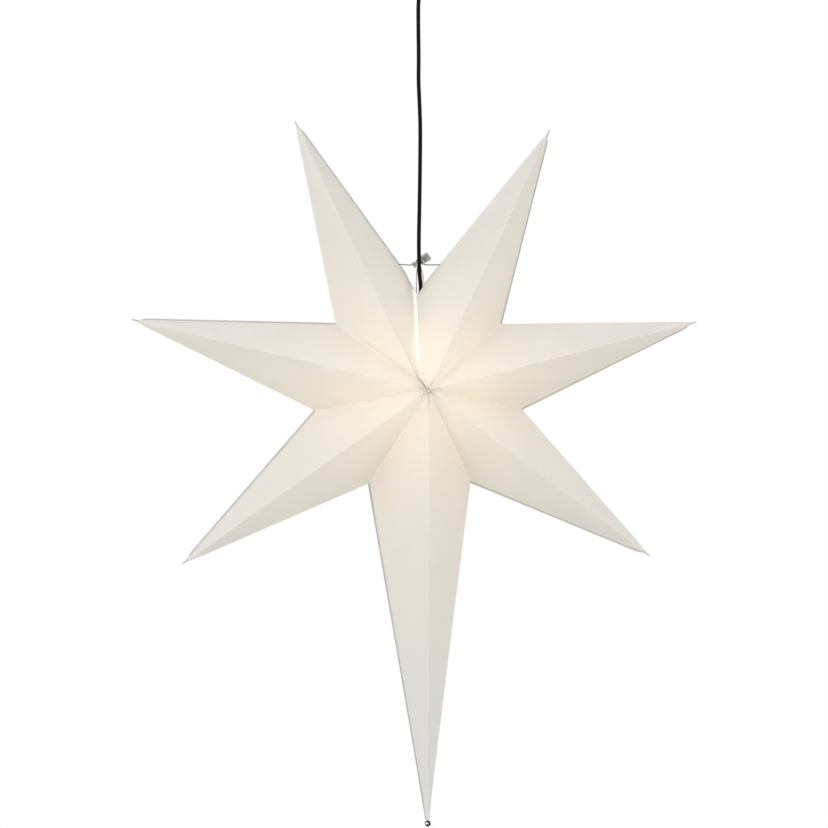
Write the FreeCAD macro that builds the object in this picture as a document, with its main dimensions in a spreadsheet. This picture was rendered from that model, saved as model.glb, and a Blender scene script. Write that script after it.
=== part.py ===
"""A folded paper star that hangs on a textile cord from a ceiling cup, with a lampholder and bulb inside.

Millimetres. The origin is the middle of the ceiling plate's top face, +Z is up and the star's face is -Y.
"""

import FreeCAD
import Part

import math
import os
import re

import Sketcher

os.makedirs("parts", exist_ok=True)
doc = FreeCAD.newDocument("paper_star")
Vector = FreeCAD.Vector
AXIS_Y = Vector(0, 1, 0)
AXIS_Z = Vector(0, 0, 1)

# Driving dimensions: alias, millimetres or degrees, what it is.
SIZES = [
    ("hubDrop", 640, "ceiling to the middle of the star"),
    ("hubShift", -1.5, "the star's middle, beside the cord's axis"),
    ("hubDepth", 123, "middle of the star to its front or back hub"),
    ("pointReach", 412, "middle of the star to the tip of a short point"),
    ("tailReach", 606, "middle of the star to the paper tip of the tail"),
    ("valleyReach", 150.5, "middle of the star to the valleys between points"),
    ("paper", 0.45, "thickness of the folded paper"),
    ("seamGap", 0.05, "half the gap between two glued points"),
    ("slack", 0.05, "clearance between pieces that sit on each other"),
    ("past", 1, "how far a cutter reaches past what it cuts"),
    ("flapWidth", 9, "glue flaps inside, square to the panels"),
    ("finWidth", 3.2, "glued edge strip on each point"),
    ("finTuck", 2, "how far the edge strip reaches in between the panels"),
    ("finTaper", 14, "tip to where the edge strip has half its width"),
    ("finEnd", 3, "tip to the end of the edge strip"),
    ("tipShare", 0.008, "the blunt tip as a share of the foot"),
    ("solidTip", 14, "the folded tip that is paper all through"),
    ("cordRadius", 2.85, "textile cord"),
    ("cordPlay", 0.3, "room round the cord in the holder's cap"),
    ("cordFoot", 106, "star's middle up to the cord's cut end in the holder"),
    ("swingHeight", 72, "ceiling to the mouth of the cord bush"),
    ("bendHeight", 86, "ceiling to where the cord bends forwards"),
    ("capTop", 123, "star's middle up to the top of the holder's cap"),
    ("collarRadius", 6.25, "collar on the holder's cap"),
    ("collarHeight", 6, "height of that collar"),
    ("gripDrop", 2.5, "top of the cap to its grip screw"),
    ("shoulder", 106.6, "star's middle up to the cap's shoulder"),
    ("capRadius", 21, "holder's cap"),
    ("capFoot", 90, "star's middle up to the foot of the cap"),
    ("capRoof", 1.2, "wall at the cap's shoulder"),
    ("capRim", 2, "flat rim of the cap's shoulder"),
    ("gripScrew", 1.2, "grip screw of the holder's cap, and the core's screws"),
    ("gripHead", 1.9, "head of that grip screw"),
    ("skirtRadius", 19.4, "holder's skirt"),
    ("skirtFoot", 58, "star's middle up to the foot of the skirt"),
    ("skirtStep", 7, "foot of the cap to where the skirt widens"),
    ("skirtLap", 0.3, "how far the skirt's upper part stays inside the cap"),
    ("skirtRim", 1, "core's top to the rim of the skirt"),
    ("skirtLining", 2, "skirt's outside to the core's seat"),
    ("holderWall", 1.8, "wall of cap and skirt"),
    ("coreFoot", 86.5, "star's middle up to the underside of the core"),
    ("coreTop", 96, "star's middle up to the top of the core"),
    ("shellRadius", 13.35, "screw shell, inside"),
    ("brass", 0.45, "thickness of the contact sheet"),
    ("shellPlay", 2.4, "screw shell to the inside of the skirt"),
    ("contactRadius", 3.2, "holder's centre contact"),
    ("coreScrewReach", 11, "cord's axis to a screw of the core"),
    ("coreWireReach", 7, "cord's axis to a wire's hole in the core"),
    ("coreFloor", 2, "core's underside to the floor of those holes"),
    ("innerWireRadius", 0.9, "stripped wires in the holder"),
    ("wirePlay", 0.5, "room round those wires in the core"),
    ("shellRise", 3, "skirt's foot to the screw shell"),
    ("bulbCapRadius", 13.0, "bulb's cap"),
    ("neckRadius", 12.5, "bulb's glass inside its cap"),
    ("bulbTop", 84.3, "star's middle up to the bulb's tip contact"),
    ("bulbRadius", 30, "bulb's glass at its widest"),
    ("bulbMiddle", 9, "star's middle up to the widest place of the glass"),
    ("glass", 0.9, "bulb's wall"),
    ("neckDrop", 0.5, "how far the glass's neck shows below its cap"),
    ("neckLap", 6, "how far the glass goes up into its cap"),
    ("tipRise", 3, "bulb's tip contact down to the top sheet of its cap"),
    ("tipRadius", 4.4, "bulb's tip contact"),
    ("tipHeight", 0.7, "height of the tip contact"),
    ("capSheet", 0.4, "sheet of the bulb's cap"),
    ("insulatorHeight", 1, "black glass in the top of the cap"),
    ("seatHeight", 2, "glass disc that closes the bulb's neck"),
    ("capMouth", 9.25, "hole in the top of the bulb's cap"),
    ("stemRod", 1.4, "glass rod that carries the filaments"),
    ("armRadius", 0.5, "arms that hold the filaments"),
    ("armReach", 7, "bulb's axis to the end of an arm"),
    ("filamentReach", 6.2, "bulb's axis to a filament"),
    ("filamentRadius", 0.8, "filaments"),
    ("filamentTop", 38, "star's middle up to the upper arms"),
    ("filamentFoot", -2, "star's middle up to the lower arms"),
    ("cupRadius", 46, "ceiling cup"),
    ("cupFoot", 61, "ceiling to the cup's underside"),
    ("cupWall", 0.8, "sheet of the cup"),
    ("cupGap", 1, "ceiling to the cup's rim"),
    ("plateRadius", 40, "ceiling plate"),
    ("plateSheet", 1.5, "sheet of the ceiling plate"),
    ("slotReach", 30, "ceiling plate's middle to a fixing slot"),
    ("slotLength", 11, "fixing slot, end to end"),
    ("slotRadius", 2.5, "half the width of a fixing slot"),
    ("entryRadius", 7, "hole for the mains wires"),
    ("entryReach", 20, "ceiling plate's middle to the hole for the mains wires"),
    ("bushRadius", 9, "cord bush below the cup"),
    ("stemRadius", 5, "cord bush through the cup"),
    ("boreRadius", 3.1, "bore of the cord bush"),
    ("stemTop", 44, "ceiling to the top of the cord bush"),
    ("stemPlay", 0.2, "room round the bush's stem in the cup"),
    ("mouthFlare", 1.3, "flare of the bush's bore at its mouth"),
    ("nutHeight", 4, "nut of the cord bush, and cup to its grip screw"),
    ("gripRadius", 1.5, "grip screws and the cup's side screws"),
    ("gripPlay", 0.1, "room round those screws in their holes"),
    ("screwHeight", 8, "ceiling to the cup's side screws"),
    ("screwHead", 3, "heads of the cup's side screws"),
    ("headHeight", 2, "height of those heads"),
    ("earReach", 43, "ceiling plate's middle to its ears"),
    ("earWidth", 14, "ceiling plate's ears, across and down"),
    ("lugTuck", 4, "overlap of the ears' lugs with the disc"),
    ("blockReach", 12, "cord's axis to the terminal block"),
    ("blockFoot", 19, "ceiling to the underside of the terminal block"),
    ("blockLength", 14, "terminal block along its wires"),
    ("blockWidth", 20, "terminal block across its poles"),
    ("poleReach", 5, "terminal block's middle to a pole"),
    ("poleRadius", 1.5, "bore of a pole"),
    ("poleScrew", 1.3, "screws of the terminal block"),
    ("poleHead", 2.2, "heads of those screws and of the core's"),
    ("poleHeadHeight", 1.5, "height of the terminal screws' heads"),
    ("wireHeight", 12, "ceiling to the wires in the terminal block"),
    ("wireRadius", 1.0, "insulated wire"),
    ("headTop", 40, "ceiling to the cut end of the cord in the cup"),
    ("beadRadius", 4.4, "chrome bead"),
    ("beadReach", 614.3, "middle of the star to the bead"),
    ("pinRadius", 0.8, "pin of the bead"),
    ("pinTuck", 10, "how far the pin goes up into the tail"),
    ("pinHead", 1.4, "nub below the bead"),
    ("pinHeadHeight", 1.2, "height of that nub"),
    ("stringRadius", 0.9, "closing strings"),
    ("stringPlay", 0.4, "room round a string in its hole"),
    ("knotRadius", 2.1, "knots of the closing strings"),
    ("knotLength", 4, "length of those knots"),
    ("holeHeight", 177.4, "star's middle up to the holes for the strings"),
    ("lockTilt", 59, "cord lock's axis, from upright"),
    ("lockSide", -6.1, "seat of the lock's button, beside the cord's axis"),
    ("lockHeight", 177.9, "star's middle up to the seat of the lock's button"),
    ("lockDepth", 10.2, "cord lock's axis, behind the cord"),
    ("lockHole", 8, "button's seat to the hole for the strings"),
    ("lockHoleWidth", 5, "hole for the strings, across the lock"),
    ("lockHoleHeight", 3, "hole for the strings, along the lock"),
    ("lockCone", 2.2, "height of the cone from the neck to the housing"),
    ("lockBevel", 1.5, "bevel of the housing's closed end"),
    ("lockEnd", 24.5, "button's seat to the closed end of the lock"),
    ("lockFloor", 22.5, "button's seat to the spring's seat"),
    ("lockRadius", 6.2, "housing of the cord lock"),
    ("lockNeck", 4.6, "neck of the cord lock"),
    ("lockBore", 3.75, "bore of the cord lock"),
    ("plungerRadius", 3.6, "button's stem"),
    ("plungerEnd", 16, "button's seat to the end of its stem"),
    ("slotLip", 0.4, "button's slot ends this far short of the housing's hole"),
    ("buttonRadius", 4.4, "button's head"),
    ("buttonHeight", 3.5, "height of the button's head"),
    ("buttonBevel", 1.2, "bevel of the button's head"),
    ("pressTravel", 4, "travel of the button"),
    ("springRadius", 2.75, "middle of the spring's wire"),
    ("springWire", 0.6, "thickness of the spring's wire"),
    ("springTurns", 3, "turns of the spring"),
    ("springSlack", 0.02, "clearance at each end of the spring"),
]

# Clockwise from straight up, seen from the front: each point's own direction, the seams on its two sides and
# its reach, because hand-folded points differ by a few millimetres.
POINTS = [
    ("upper_right_point", 26.9, 2.6, 51.4, "pointReach + 1"),
    ("right_point", 76.4, 51.4, 100.5, "pointReach"),
    ("lower_right_point", 125.5, 100.5, 150.5, "pointReach - 3"),
    ("tail_point", 178.8, 150.5, 208.2, "tailReach"),
    ("lower_left_point", 233.8, 208.2, 258.8, "pointReach + 1"),
    ("left_point", 283.7, 258.8, 308.2, "pointReach + 3"),
    ("upper_left_point", 335.1, 308.2, 358.5, "pointReach + 4"),
]

# Routes in x, y and height above the star's middle.
LEFT_STRING = [
    (-33.0, 0.0, 177.8),
    (-21.0, 0.3, 177.0),
    (-11.5, 3.2, 176.6),
    (-4.5, 4.5, 179.0),
    (0.2, 4.5, 182.9),
    (0.2, 19.6, 182.9),
    (-2.2, 19.4, 167.0),
    (-3.2, 14.6, 151.0),
    (-3.4, 11.6, 137.5),
]
RIGHT_STRING = [
    (36.0, 0.0, 177.4),
    (22.0, 0.2, 177.2),
    (9.5, 3.4, 177.0),
    (4.6, 4.4, 178.2),
    (1.3, 4.5, 181.1),
    (1.3, 17.4, 181.1),
    (4.6, 17.6, 171.0),
    (7.6, 16.4, 158.0),
    (5.3, 14.2, 149.3),
]
HOLE_BEND = 1.9  # bend of a string where it turns into the lock
BEND_SHARE = 0.45  # the most of a straight run that a bend takes up
LEFT_KNOT = (-37.05, 177.8)  # x and height above the star's middle
RIGHT_KNOT = (36.05, 177.4)

sheet = doc.addObject("Spreadsheet::Sheet", "sizes")
for row, (alias, number, note) in enumerate(SIZES, 1):
    sheet.set(f"A{row}", note)
    sheet.set(f"B{row}", str(number))
    sheet.setAlias(f"B{row}", alias)
doc.recompute()
ALIASES = {alias for alias, number, note in SIZES}
finished = []


def bound(words):
    """An expression on the sheet's names, as another object of the document writes it."""
    return re.sub(r"[A-Za-z]\w*", lambda m: "sizes." + m[0] if m[0] in ALIASES else m[0], str(words))


def size(words):
    """The number that an expression on the sheet's names has now."""
    sheet.set("D1", "=" + str(words))
    sheet.recompute()
    return float(sheet.get("D1"))


def drive(thing, **words):
    """Binds properties of a document object to the sheet."""
    for name, expression in words.items():
        thing.setExpression(name.replace("_", "."), bound(expression))
    return thing


def keep(thing, label):
    """Marks a finished sub-part and gives it its name."""
    thing.Label = label
    finished.append(thing)
    return thing


def arcBetween(start, end, radius):
    """An arc from start to end, round a middle on its left, or on its right where the radius is negative."""
    chord = end - start
    left = Vector(-chord.y, chord.x, 0).normalize()
    reach = math.sqrt(max(radius**2 - (chord.Length / 2) ** 2, 0))
    middle = start + chord * 0.5 + left * math.copysign(reach, radius)
    first, last = (start, end) if radius > 0 else (end, start)
    from_angle, to_angle = [math.atan2(p.y - middle.y, p.x - middle.x) for p in (first, last)]
    if to_angle < from_angle:
        to_angle += 2 * math.pi
    return Part.ArcOfCircle(Part.Circle(middle, AXIS_Z, abs(radius)), from_angle, to_angle)


def outline(sketch, corners):
    """Draws a closed outline whose corners are pairs of expressions.

    A third entry is the radius of the arc to the next corner, with its middle on the left, or on the right
    where a minus stands before it.
    """
    places = [Vector(size(c[0]), size(c[1]), 0) for c in corners]
    radii = [size(c[2]) if len(c) == 3 else 0 for c in corners]
    count = len(corners)
    for i, radius in enumerate(radii):
        ends = places[i], places[(i + 1) % count]
        sketch.addGeometry(arcBetween(*ends, radius) if radius else Part.LineSegment(*ends))
    # An arc is always drawn anticlockwise, so a clockwise one begins at its second end.
    first = [2 if radius < 0 else 1 for radius in radii]
    for i in range(count):
        follower = (i + 1) % count
        sketch.addConstraint(Sketcher.Constraint("Coincident", i, 3 - first[i], follower, first[follower]))
    for i, corner in enumerate(corners):
        across = ("DistanceX", corner[0], places[i].x)
        upward = ("DistanceY", corner[1], places[i].y)
        for kind, words, number in (across, upward):
            made = sketch.addConstraint(Sketcher.Constraint(kind, -1, 1, i, first[i], number))
            sketch.setExpression(f"Constraints[{made}]", bound(words))
        if radii[i]:
            made = sketch.addConstraint(Sketcher.Constraint("Radius", i, abs(radii[i])))
            sketch.setExpression(f"Constraints[{made}]", bound(f"abs({corner[2]})"))


def bodySketch(body, plane, corners):
    """A sketch of one closed outline on a plane of its body."""
    sketch = body.newObject("Sketcher::SketchObject", "outline")
    flat = [f for f in body.Origin.OriginFeatures if f.Role == plane][0]
    sketch.AttachmentSupport = (flat, [""])
    sketch.MapMode = "FlatFace"
    outline(sketch, corners)
    return sketch


def turned(corners, name="turned"):
    """A body turned about Z from an outline in radius and height."""
    body = doc.addObject("PartDesign::Body", name)
    sketch = bodySketch(body, "XZ_Plane", corners)
    turn = body.newObject("PartDesign::Revolution", "turn")
    turn.Profile = sketch
    turn.ReferenceAxis = (sketch, ["V_Axis"])
    turn.Angle = 360
    doc.recompute()
    return body


def cylinder(radius, height, x="0", y="0", z="0", about=None, angle=90):
    """A round bar along Z from a place, or turned about an axis through that place."""
    bar = doc.addObject("Part::Cylinder", "bar")
    if about:
        bar.Placement.Rotation = FreeCAD.Rotation(about, angle)
    drive(bar, Radius=radius, Height=height, Placement_Base_x=x, Placement_Base_y=y, Placement_Base_z=z)
    return bar


def slimBar(radius, height, x="0", y="0", z="0", about=None, angle=90):
    """An eight-sided bar, for screws and other slim pieces."""
    bar = doc.addObject("Part::Prism", "slimBar")
    bar.Polygon = 8
    if about:
        bar.Placement.Rotation = FreeCAD.Rotation(about, angle)
    drive(bar, Circumradius=radius, Height=height, Placement_Base_x=x, Placement_Base_y=y, Placement_Base_z=z)
    return bar


def block(length, width, height, x, y, z):
    """A box with its lowest corner at a place."""
    made = doc.addObject("Part::Box", "block")
    drive(made, Length=length, Width=width, Height=height)
    drive(made, Placement_Base_x=x, Placement_Base_y=y, Placement_Base_z=z)
    return made


def fused(*pieces):
    made = doc.addObject("Part::MultiFuse", "fused")
    made.Shapes = list(pieces)
    return made


def cut(base, *tools):
    made = doc.addObject("Part::Cut", "cut")
    made.Base = base
    made.Tool = tools[0] if len(tools) == 1 else fused(*tools)
    return made


def common(a, b):
    made = doc.addObject("Part::MultiCommon", "common")
    made.Shapes = [a, b]
    return made


def grouped(*pieces):
    """Separate solids that share one node."""
    made = doc.addObject("Part::Compound", "group")
    made.Links = list(pieces)
    return made


def lifted(thing, height):
    """Puts a piece drawn about the star's middle at its height below the ceiling, on the cord's axis."""
    return drive(thing, Placement_Base_z=f"{height} - hubDrop")


def atHub(thing, turn=0.0):
    """Puts a piece drawn about the star's middle there, turned clockwise as seen from the front."""
    thing.Placement = FreeCAD.Placement(Vector(0, 0, 0), FreeCAD.Rotation(AXIS_Y, turn))
    return drive(thing, Placement_Base_x="hubShift", Placement_Base_z="-hubDrop")


# ---- paper points ----


def ridge(left, right, reach, inset, end, side):
    """The two panels that meet in a point's front ridge (side 1) or its back ridge (side -1), as one bar."""
    full = f"(({reach}) / (1 - tipShare))"
    height = f"(({reach}) - ({end}) + ({inset}))"
    foot = f"{side} * hubDepth"
    sketch = doc.addObject("Sketcher::SketchObject", "foot")
    outline(sketch, [("0", f"-({foot})"), (f"3 * {right}", f"2 * {foot}"), (f"-3 * {left}", f"2 * {foot}")])
    drive(sketch, Placement_Base_z=f"-({inset})")
    bar = doc.addObject("Part::Extrusion", "ridge")
    bar.Base = sketch
    bar.DirMode = "Custom"
    bar.Solid = True
    drive(bar, Dir_x="0", Dir_y=foot, Dir_z=full)
    return drive(bar, LengthFwd=f"{height} * sqrt(hubDepth ^ 2 + {full} ^ 2) / {full}")


def spire(left, right, reach, inset, end):
    """A four-sided spire along Z, moved towards the hub by inset and ended short of its tip."""
    return common(*[ridge(left, right, reach, inset, end, side) for side in (1, -1)])


def wedge(before, after, back, far="700"):
    """The room between a point's two seams, which meet on the hub's axis, and back inside them."""
    sketch = doc.addObject("Sketcher::SketchObject", "seams")
    sketch.Placement.Rotation = FreeCAD.Rotation(Vector(1, 0, 0), 90)
    corner_z = f"(({back}) * (cos({before}) + cos({after})) / sin(({before}) + ({after})))"
    corner_x = f"(({back}) * (sin({after}) - sin({before})) / sin(({before}) + ({after})))"
    outline(
        sketch,
        [
            (corner_x, corner_z),
            (f"{corner_x} + {far} * sin({after})", f"{corner_z} + {far} * cos({after})"),
            (f"{corner_x} - {far} * sin({before})", f"{corner_z} + {far} * cos({before})"),
        ],
    )
    room = doc.addObject("Part::Extrusion", "wedge")
    room.Base = sketch
    room.Dir = AXIS_Y
    room.DirMode = "Custom"
    room.Solid = True
    room.Symmetric = True
    return drive(room, LengthFwd="4 * hubDepth")


def fin(after, reach):
    """The flat glued strip along a point's clockwise edge."""
    valley_x = f"valleyReach * sin({after})"
    valley_z = f"valleyReach * cos({after})"
    sketch = doc.addObject("Sketcher::SketchObject", "fin")
    sketch.Placement.Rotation = FreeCAD.Rotation(Vector(1, 0, 0), 90)
    outline(
        sketch,
        [
            (f"{valley_x} - finTuck", valley_z),
            (f"{valley_x} + finWidth", valley_z),
            ("finWidth / 2", f"({reach}) - finTaper"),
            ("0", f"({reach}) - finEnd"),
            ("-finTuck / 2", f"({reach}) - finTaper - 2 * finTuck"),
        ],
    )
    strip = doc.addObject("Part::Extrusion", "strip")
    strip.Base = sketch
    strip.Dir = AXIS_Y
    strip.DirMode = "Custom"
    strip.Solid = True
    strip.Symmetric = True
    return drive(strip, LengthFwd="2 * paper")


def paperPoint(direction, seam_before, seam_after, reach):
    """One folded point: four panels, the flaps along its two seams and the glued strip on its edge."""
    before = f"{direction - seam_before:.4f}"
    after = f"{seam_after - direction:.4f}"
    reach = f"({reach})"
    left = f"(valleyReach * sin({before}) * {reach} / ({reach} - valleyReach * cos({before})))"
    right = f"(valleyReach * sin({after}) * {reach} / ({reach} - valleyReach * cos({after})))"
    # A panel's slope against the point's axis turns a thickness into a shift along the axis.
    slope = f"({reach} * sqrt(1 / (({left} + {right}) / 2) ^ 2 + 1 / hubDepth ^ 2 + 1 / {reach} ^ 2))"
    outside = fused(spire(left, right, reach, "0", "0"), fin(after, reach))
    folded = common(outside, wedge(before, after, "seamGap"))
    hollow = spire(left, right, reach, f"paper * {slope}", "solidTip")
    inside = common(hollow, wedge(before, after, "seamGap + paper"))
    window = spire(left, right, reach, f"flapWidth * {slope}", f"solidTip + flapWidth * {slope}")
    return cut(folded, inside, window)


def stringHole(x):
    """The hole in an upper point's edge that a string comes out of, on to the right from x."""
    return cylinder("stringRadius + stringPlay", "5 * knotLength", x, "0", "holeHeight - hubDrop", AXIS_Y)


def star():
    for label, direction, before, after, reach in POINTS:
        point = atHub(paperPoint(direction, before, after, reach), direction)
        if label == "tail_point":
            pin = cylinder("pinRadius", "pinTuck + 2 * past", z="tailReach - pinTuck")
            point = cut(point, atHub(grouped(pin), direction))
        if label == "upper_left_point":
            point = cut(point, stringHole(f"{LEFT_KNOT[0]} - past"))
        if label == "upper_right_point":
            point = cut(point, stringHole(f"{RIGHT_KNOT[0]} + 2 * past - 5 * knotLength"))
        keep(point, label)


# ---- tubes and coils that follow a route ----


def eightSided(middle, direction, radius):
    """A section across a path: eight corners and eight flats, with the area of the round wire."""
    across = direction.cross(Vector(0.31, 0.95, 0.07)).normalize()
    around = direction.normalize().cross(across)
    corner = radius * math.sqrt(math.pi / (4 * math.sin(math.pi / 4)))
    angles = [i * math.pi / 4 for i in range(9)]
    places = [middle + (across * math.cos(a) + around * math.sin(a)) * corner for a in angles]
    return Part.makePolygon(places)


def tube(points, radius, name, sharpest=None):
    """A tube along straight runs joined by tangent arcs, as large as the runs allow or as sharpest says."""
    places = [Vector(*p) for p in points]
    edges = []
    radii = []
    start = places[0]
    for before, corner, after in zip(places, places[1:], places[2:]):
        inward = (corner - before).normalize()
        outward = (after - corner).normalize()
        turn = inward.getAngle(outward)
        shorter = min((corner - before).Length, (after - corner).Length)
        bend = BEND_SHARE * shorter / math.tan(turn / 2)
        if sharpest:
            bend = min(bend, sharpest)
        reach = bend * math.tan(turn / 2)
        enter = corner - inward * reach
        leave = corner + outward * reach
        middle = corner + (outward - inward).normalize() * (bend / math.cos(turn / 2) - bend)
        edges.append(Part.LineSegment(start, enter).toShape())
        edges.append(Part.Arc(enter, middle, leave).toShape())
        start = leave
        radii.append(bend)
    edges.append(Part.LineSegment(start, places[-1]).toShape())
    path = Part.Wire(edges)
    shape = path.makePipeShell([eightSided(places[0], places[1] - places[0], radius)], True, False)
    full = math.pi * radius**2 * path.Length
    bends = ", ".join(f"{r:.1f}" for r in radii)
    print(f"{name}: {path.Length:.1f} mm, bends {bends}, volume {shape.Volume / full:.3f} of its section's")
    made = doc.addObject("Part::Feature", "tube")
    made.Shape = shape
    return made


def coil(radius, wire, start, length, turns, name):
    """A spring about Z: quarter turns of the helix, each as two arcs that share its tangents."""
    quarters = round(turns * 4)

    def place(i):
        angle = i * math.pi / 2
        return Vector(radius * math.cos(angle), radius * math.sin(angle), start + length * i / quarters)

    def along(i):
        angle = i * math.pi / 2
        climb = length / quarters / (math.pi / 2)
        return Vector(-radius * math.sin(angle), radius * math.cos(angle), climb).normalize()

    edges = []
    for i in range(quarters):
        a, b, enter, leave = place(i), place(i + 1), along(i), along(i + 1)
        chord = b - a
        both = enter + leave
        # Equal handles: |chord|^2 - 2 d chord.(enter + leave) + 2 d^2 (enter.leave - 1) = 0.
        square = 2 * (enter.dot(leave) - 1)
        straight = -2 * chord.dot(both)
        handle = (-straight - math.sqrt(straight**2 - 4 * square * chord.dot(chord))) / (2 * square)
        joint = (a + enter * handle + b - leave * handle) * 0.5
        for p, q, tangent in ((a, joint, enter), (joint, b, leave * -1)):
            origin, far = (p, q) if tangent is enter else (q, p)
            edges.append(arcFrom(origin, far, tangent, p, q))
    path = Part.Wire(edges)
    shape = path.makePipeShell([eightSided(place(0), along(0), wire / 2)], True, False)
    print(f"{name}: {turns} turns, least gap {length / turns - wire:.2f} mm")
    made = doc.addObject("Part::Feature", "coil")
    made.Shape = shape
    return made


def arcFrom(origin, far, tangent, start, end):
    """The arc that leaves origin along a tangent and ends at far, written from start to end."""
    chord = far - origin
    half = chord.getAngle(tangent)
    side = (tangent - chord.normalize() * math.cos(half)).normalize()
    length = (far - origin).Length
    bulge = (origin + far) * 0.5 + side * (length / 2 * math.tan(half / 2))
    return Part.Arc(start, bulge, end).toShape()


# ---- ceiling ----


def ceilingPlate():
    disc = cylinder("plateRadius", "plateSheet", z="-plateSheet")
    below = "-plateSheet - past"
    through = "plateSheet + 2 * past"
    parts = [disc]
    tools = [cylinder("entryRadius", through, x="-entryReach", z=below)]
    for side in (1, -1):
        lug_x = "plateRadius - lugTuck" if side > 0 else "-earReach - plateSheet"
        ear_x = "earReach" if side > 0 else "-earReach - plateSheet"
        lug = "earReach + plateSheet - plateRadius + lugTuck"
        parts.append(block(lug, "earWidth", "plateSheet", lug_x, "-earWidth / 2", "-plateSheet"))
        parts.append(block("plateSheet", "earWidth", "earWidth", ear_x, "-earWidth / 2", "-earWidth"))
        hole_x = f"{ear_x} - past"
        tools.append(cylinder("gripRadius + gripPlay", through, hole_x, "0", "-screwHeight", AXIS_Y))
        middle = f"{side} * slotReach"
        straight = "(slotLength / 2 - slotRadius)"
        low = f"{middle} - {straight}"
        tools.append(block("2 * slotRadius", f"2 * {straight}", through, "-slotRadius", low, below))
        tools.append(cylinder("slotRadius", through, "0", low, below))
        tools.append(cylinder("slotRadius", through, "0", f"{middle} + {straight}", below))
    keep(cut(fused(*parts), *tools), "ceiling_plate")


def ceilingCup():
    shell = turned(
        [
            ("stemRadius + stemPlay", "-cupFoot"),
            ("cupRadius", "-cupFoot"),
            ("cupRadius", "-cupGap"),
            ("cupRadius - cupWall", "-cupGap"),
            ("cupRadius - cupWall", "-cupFoot + cupWall"),
            ("stemRadius + stemPlay", "-cupFoot + cupWall"),
        ]
    )
    hole = "gripRadius + 2.5 * gripPlay"
    holes = []
    screws = []
    for side in (1, -1):
        hole_x = "cupRadius - 2 * past" if side > 0 else "-cupRadius - 2 * past"
        shank_x = "earReach - lugTuck" if side > 0 else "-cupRadius"
        head_x = "cupRadius" if side > 0 else "-cupRadius - headHeight"
        holes.append(cylinder(hole, "4 * past", hole_x, "0", "-screwHeight", AXIS_Y))
        shank = slimBar("gripRadius", "cupRadius - earReach + lugTuck", shank_x, "0", "-screwHeight", AXIS_Y)
        cap = slimBar("screwHead", "headHeight", head_x, "0", "-screwHeight", AXIS_Y)
        screws.append(fused(shank, cap))
    keep(cut(shell, *holes), "ceiling_cup")
    keep(grouped(*screws), "cup_screws")


def cordBush():
    """The bush that carries the cord: a bell mouth below the cup, a stem through it and a nut inside."""
    body = turned(
        [
            ("boreRadius + mouthFlare", "-swingHeight"),
            ("bushRadius", "-swingHeight"),
            ("bushRadius", "-cupFoot"),
            ("stemRadius", "-cupFoot"),
            ("stemRadius", "-stemTop"),
            ("boreRadius", "-stemTop"),
            ("boreRadius", "-swingHeight + mouthFlare"),
        ]
    )
    grip = "-cupFoot - nutHeight"
    hole = cylinder("gripRadius + gripPlay", "bushRadius + past", "0", "0", grip, AXIS_Y)
    keep(cut(body, hole), "cord_bush")
    shank = slimBar("gripRadius", "bushRadius - cordRadius - slack", "cordRadius + slack", "0", grip, AXIS_Y)
    head = slimBar("1.6 * gripRadius", "1.2 * gripRadius", "bushRadius", "0", grip, AXIS_Y)
    keep(fused(shank, head), "bush_screw")
    hexagon = doc.addObject("Part::Prism", "hexagon")
    hexagon.Polygon = 6
    drive(hexagon, Circumradius="bushRadius", Height="nutHeight", Placement_Base_z="-cupFoot + cupWall")
    keep(cut(hexagon, cylinder("stemRadius + gripPlay", "2 * nutHeight", z="-cupFoot")), "bush_nut")
    foot = "-swingHeight + cordRadius + 3 * slack"
    keep(cylinder("cordRadius", f"-headTop - ({foot})", z=foot), "cord_head")


def terminals():
    body = block(
        "blockLength", "blockWidth", "blockFoot - plateSheet", "blockReach", "-blockWidth / 2", "-blockFoot"
    )
    screw_x = "blockReach + blockLength / 2"
    tools = []
    screws = []
    for side in (1, -1):
        pole_y = f"{side} * poleReach"
        start = "blockReach - past"
        deep = "blockFoot - wireHeight"
        tools.append(cylinder("poleRadius", "blockLength + 2 * past", start, pole_y, "-wireHeight", AXIS_Y))
        tools.append(cylinder("poleScrew + gripPlay", deep, screw_x, pole_y, "-blockFoot"))
        long = f"{deep} - wireRadius - slack"
        shank = slimBar("poleScrew", long, screw_x, pole_y, "-blockFoot")
        head = slimBar("poleHead", "poleHeadHeight", screw_x, pole_y, "-blockFoot - poleHeadHeight")
        screws.append(fused(shank, head))
    keep(cut(body, *tools), "terminal_block")
    keep(grouped(*screws), "terminal_screws")
    cord_end = -size("headTop")
    wire_z = -size("wireHeight")
    wire_y = size("poleReach")
    far_x = size("blockReach + blockLength - lugTuck")
    for label, side in (("live_wire", 1), ("neutral_wire", -1)):
        route = [
            (1.2 * side, 0, cord_end),
            (1.2 * side, 0, cord_end + 11),
            (3.5, 4.0 * side, wire_z - 6),
            (7.0, wire_y * side, wire_z),
            (far_x, wire_y * side, wire_z),
        ]
        keep(tube(route, size("wireRadius"), label), label)


# ---- cord ----


def stretch(top, foot):
    """A stretch of cord whose narrowed upper end keeps clear when it bends there."""
    end = f"{top} + 0.9 * cordRadius"
    narrow = "0.4 * cordRadius"
    return turned([("0", foot), ("cordRadius", foot), ("cordRadius", top), (narrow, end), ("0", end)])


def cord():
    keep(stretch("-swingHeight", "-bendHeight + cordRadius + 2 * slack"), "cord_top")
    keep(stretch("-bendHeight", "cordFoot - hubDrop"), "textile_cord")


# ---- lampholder ----


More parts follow.
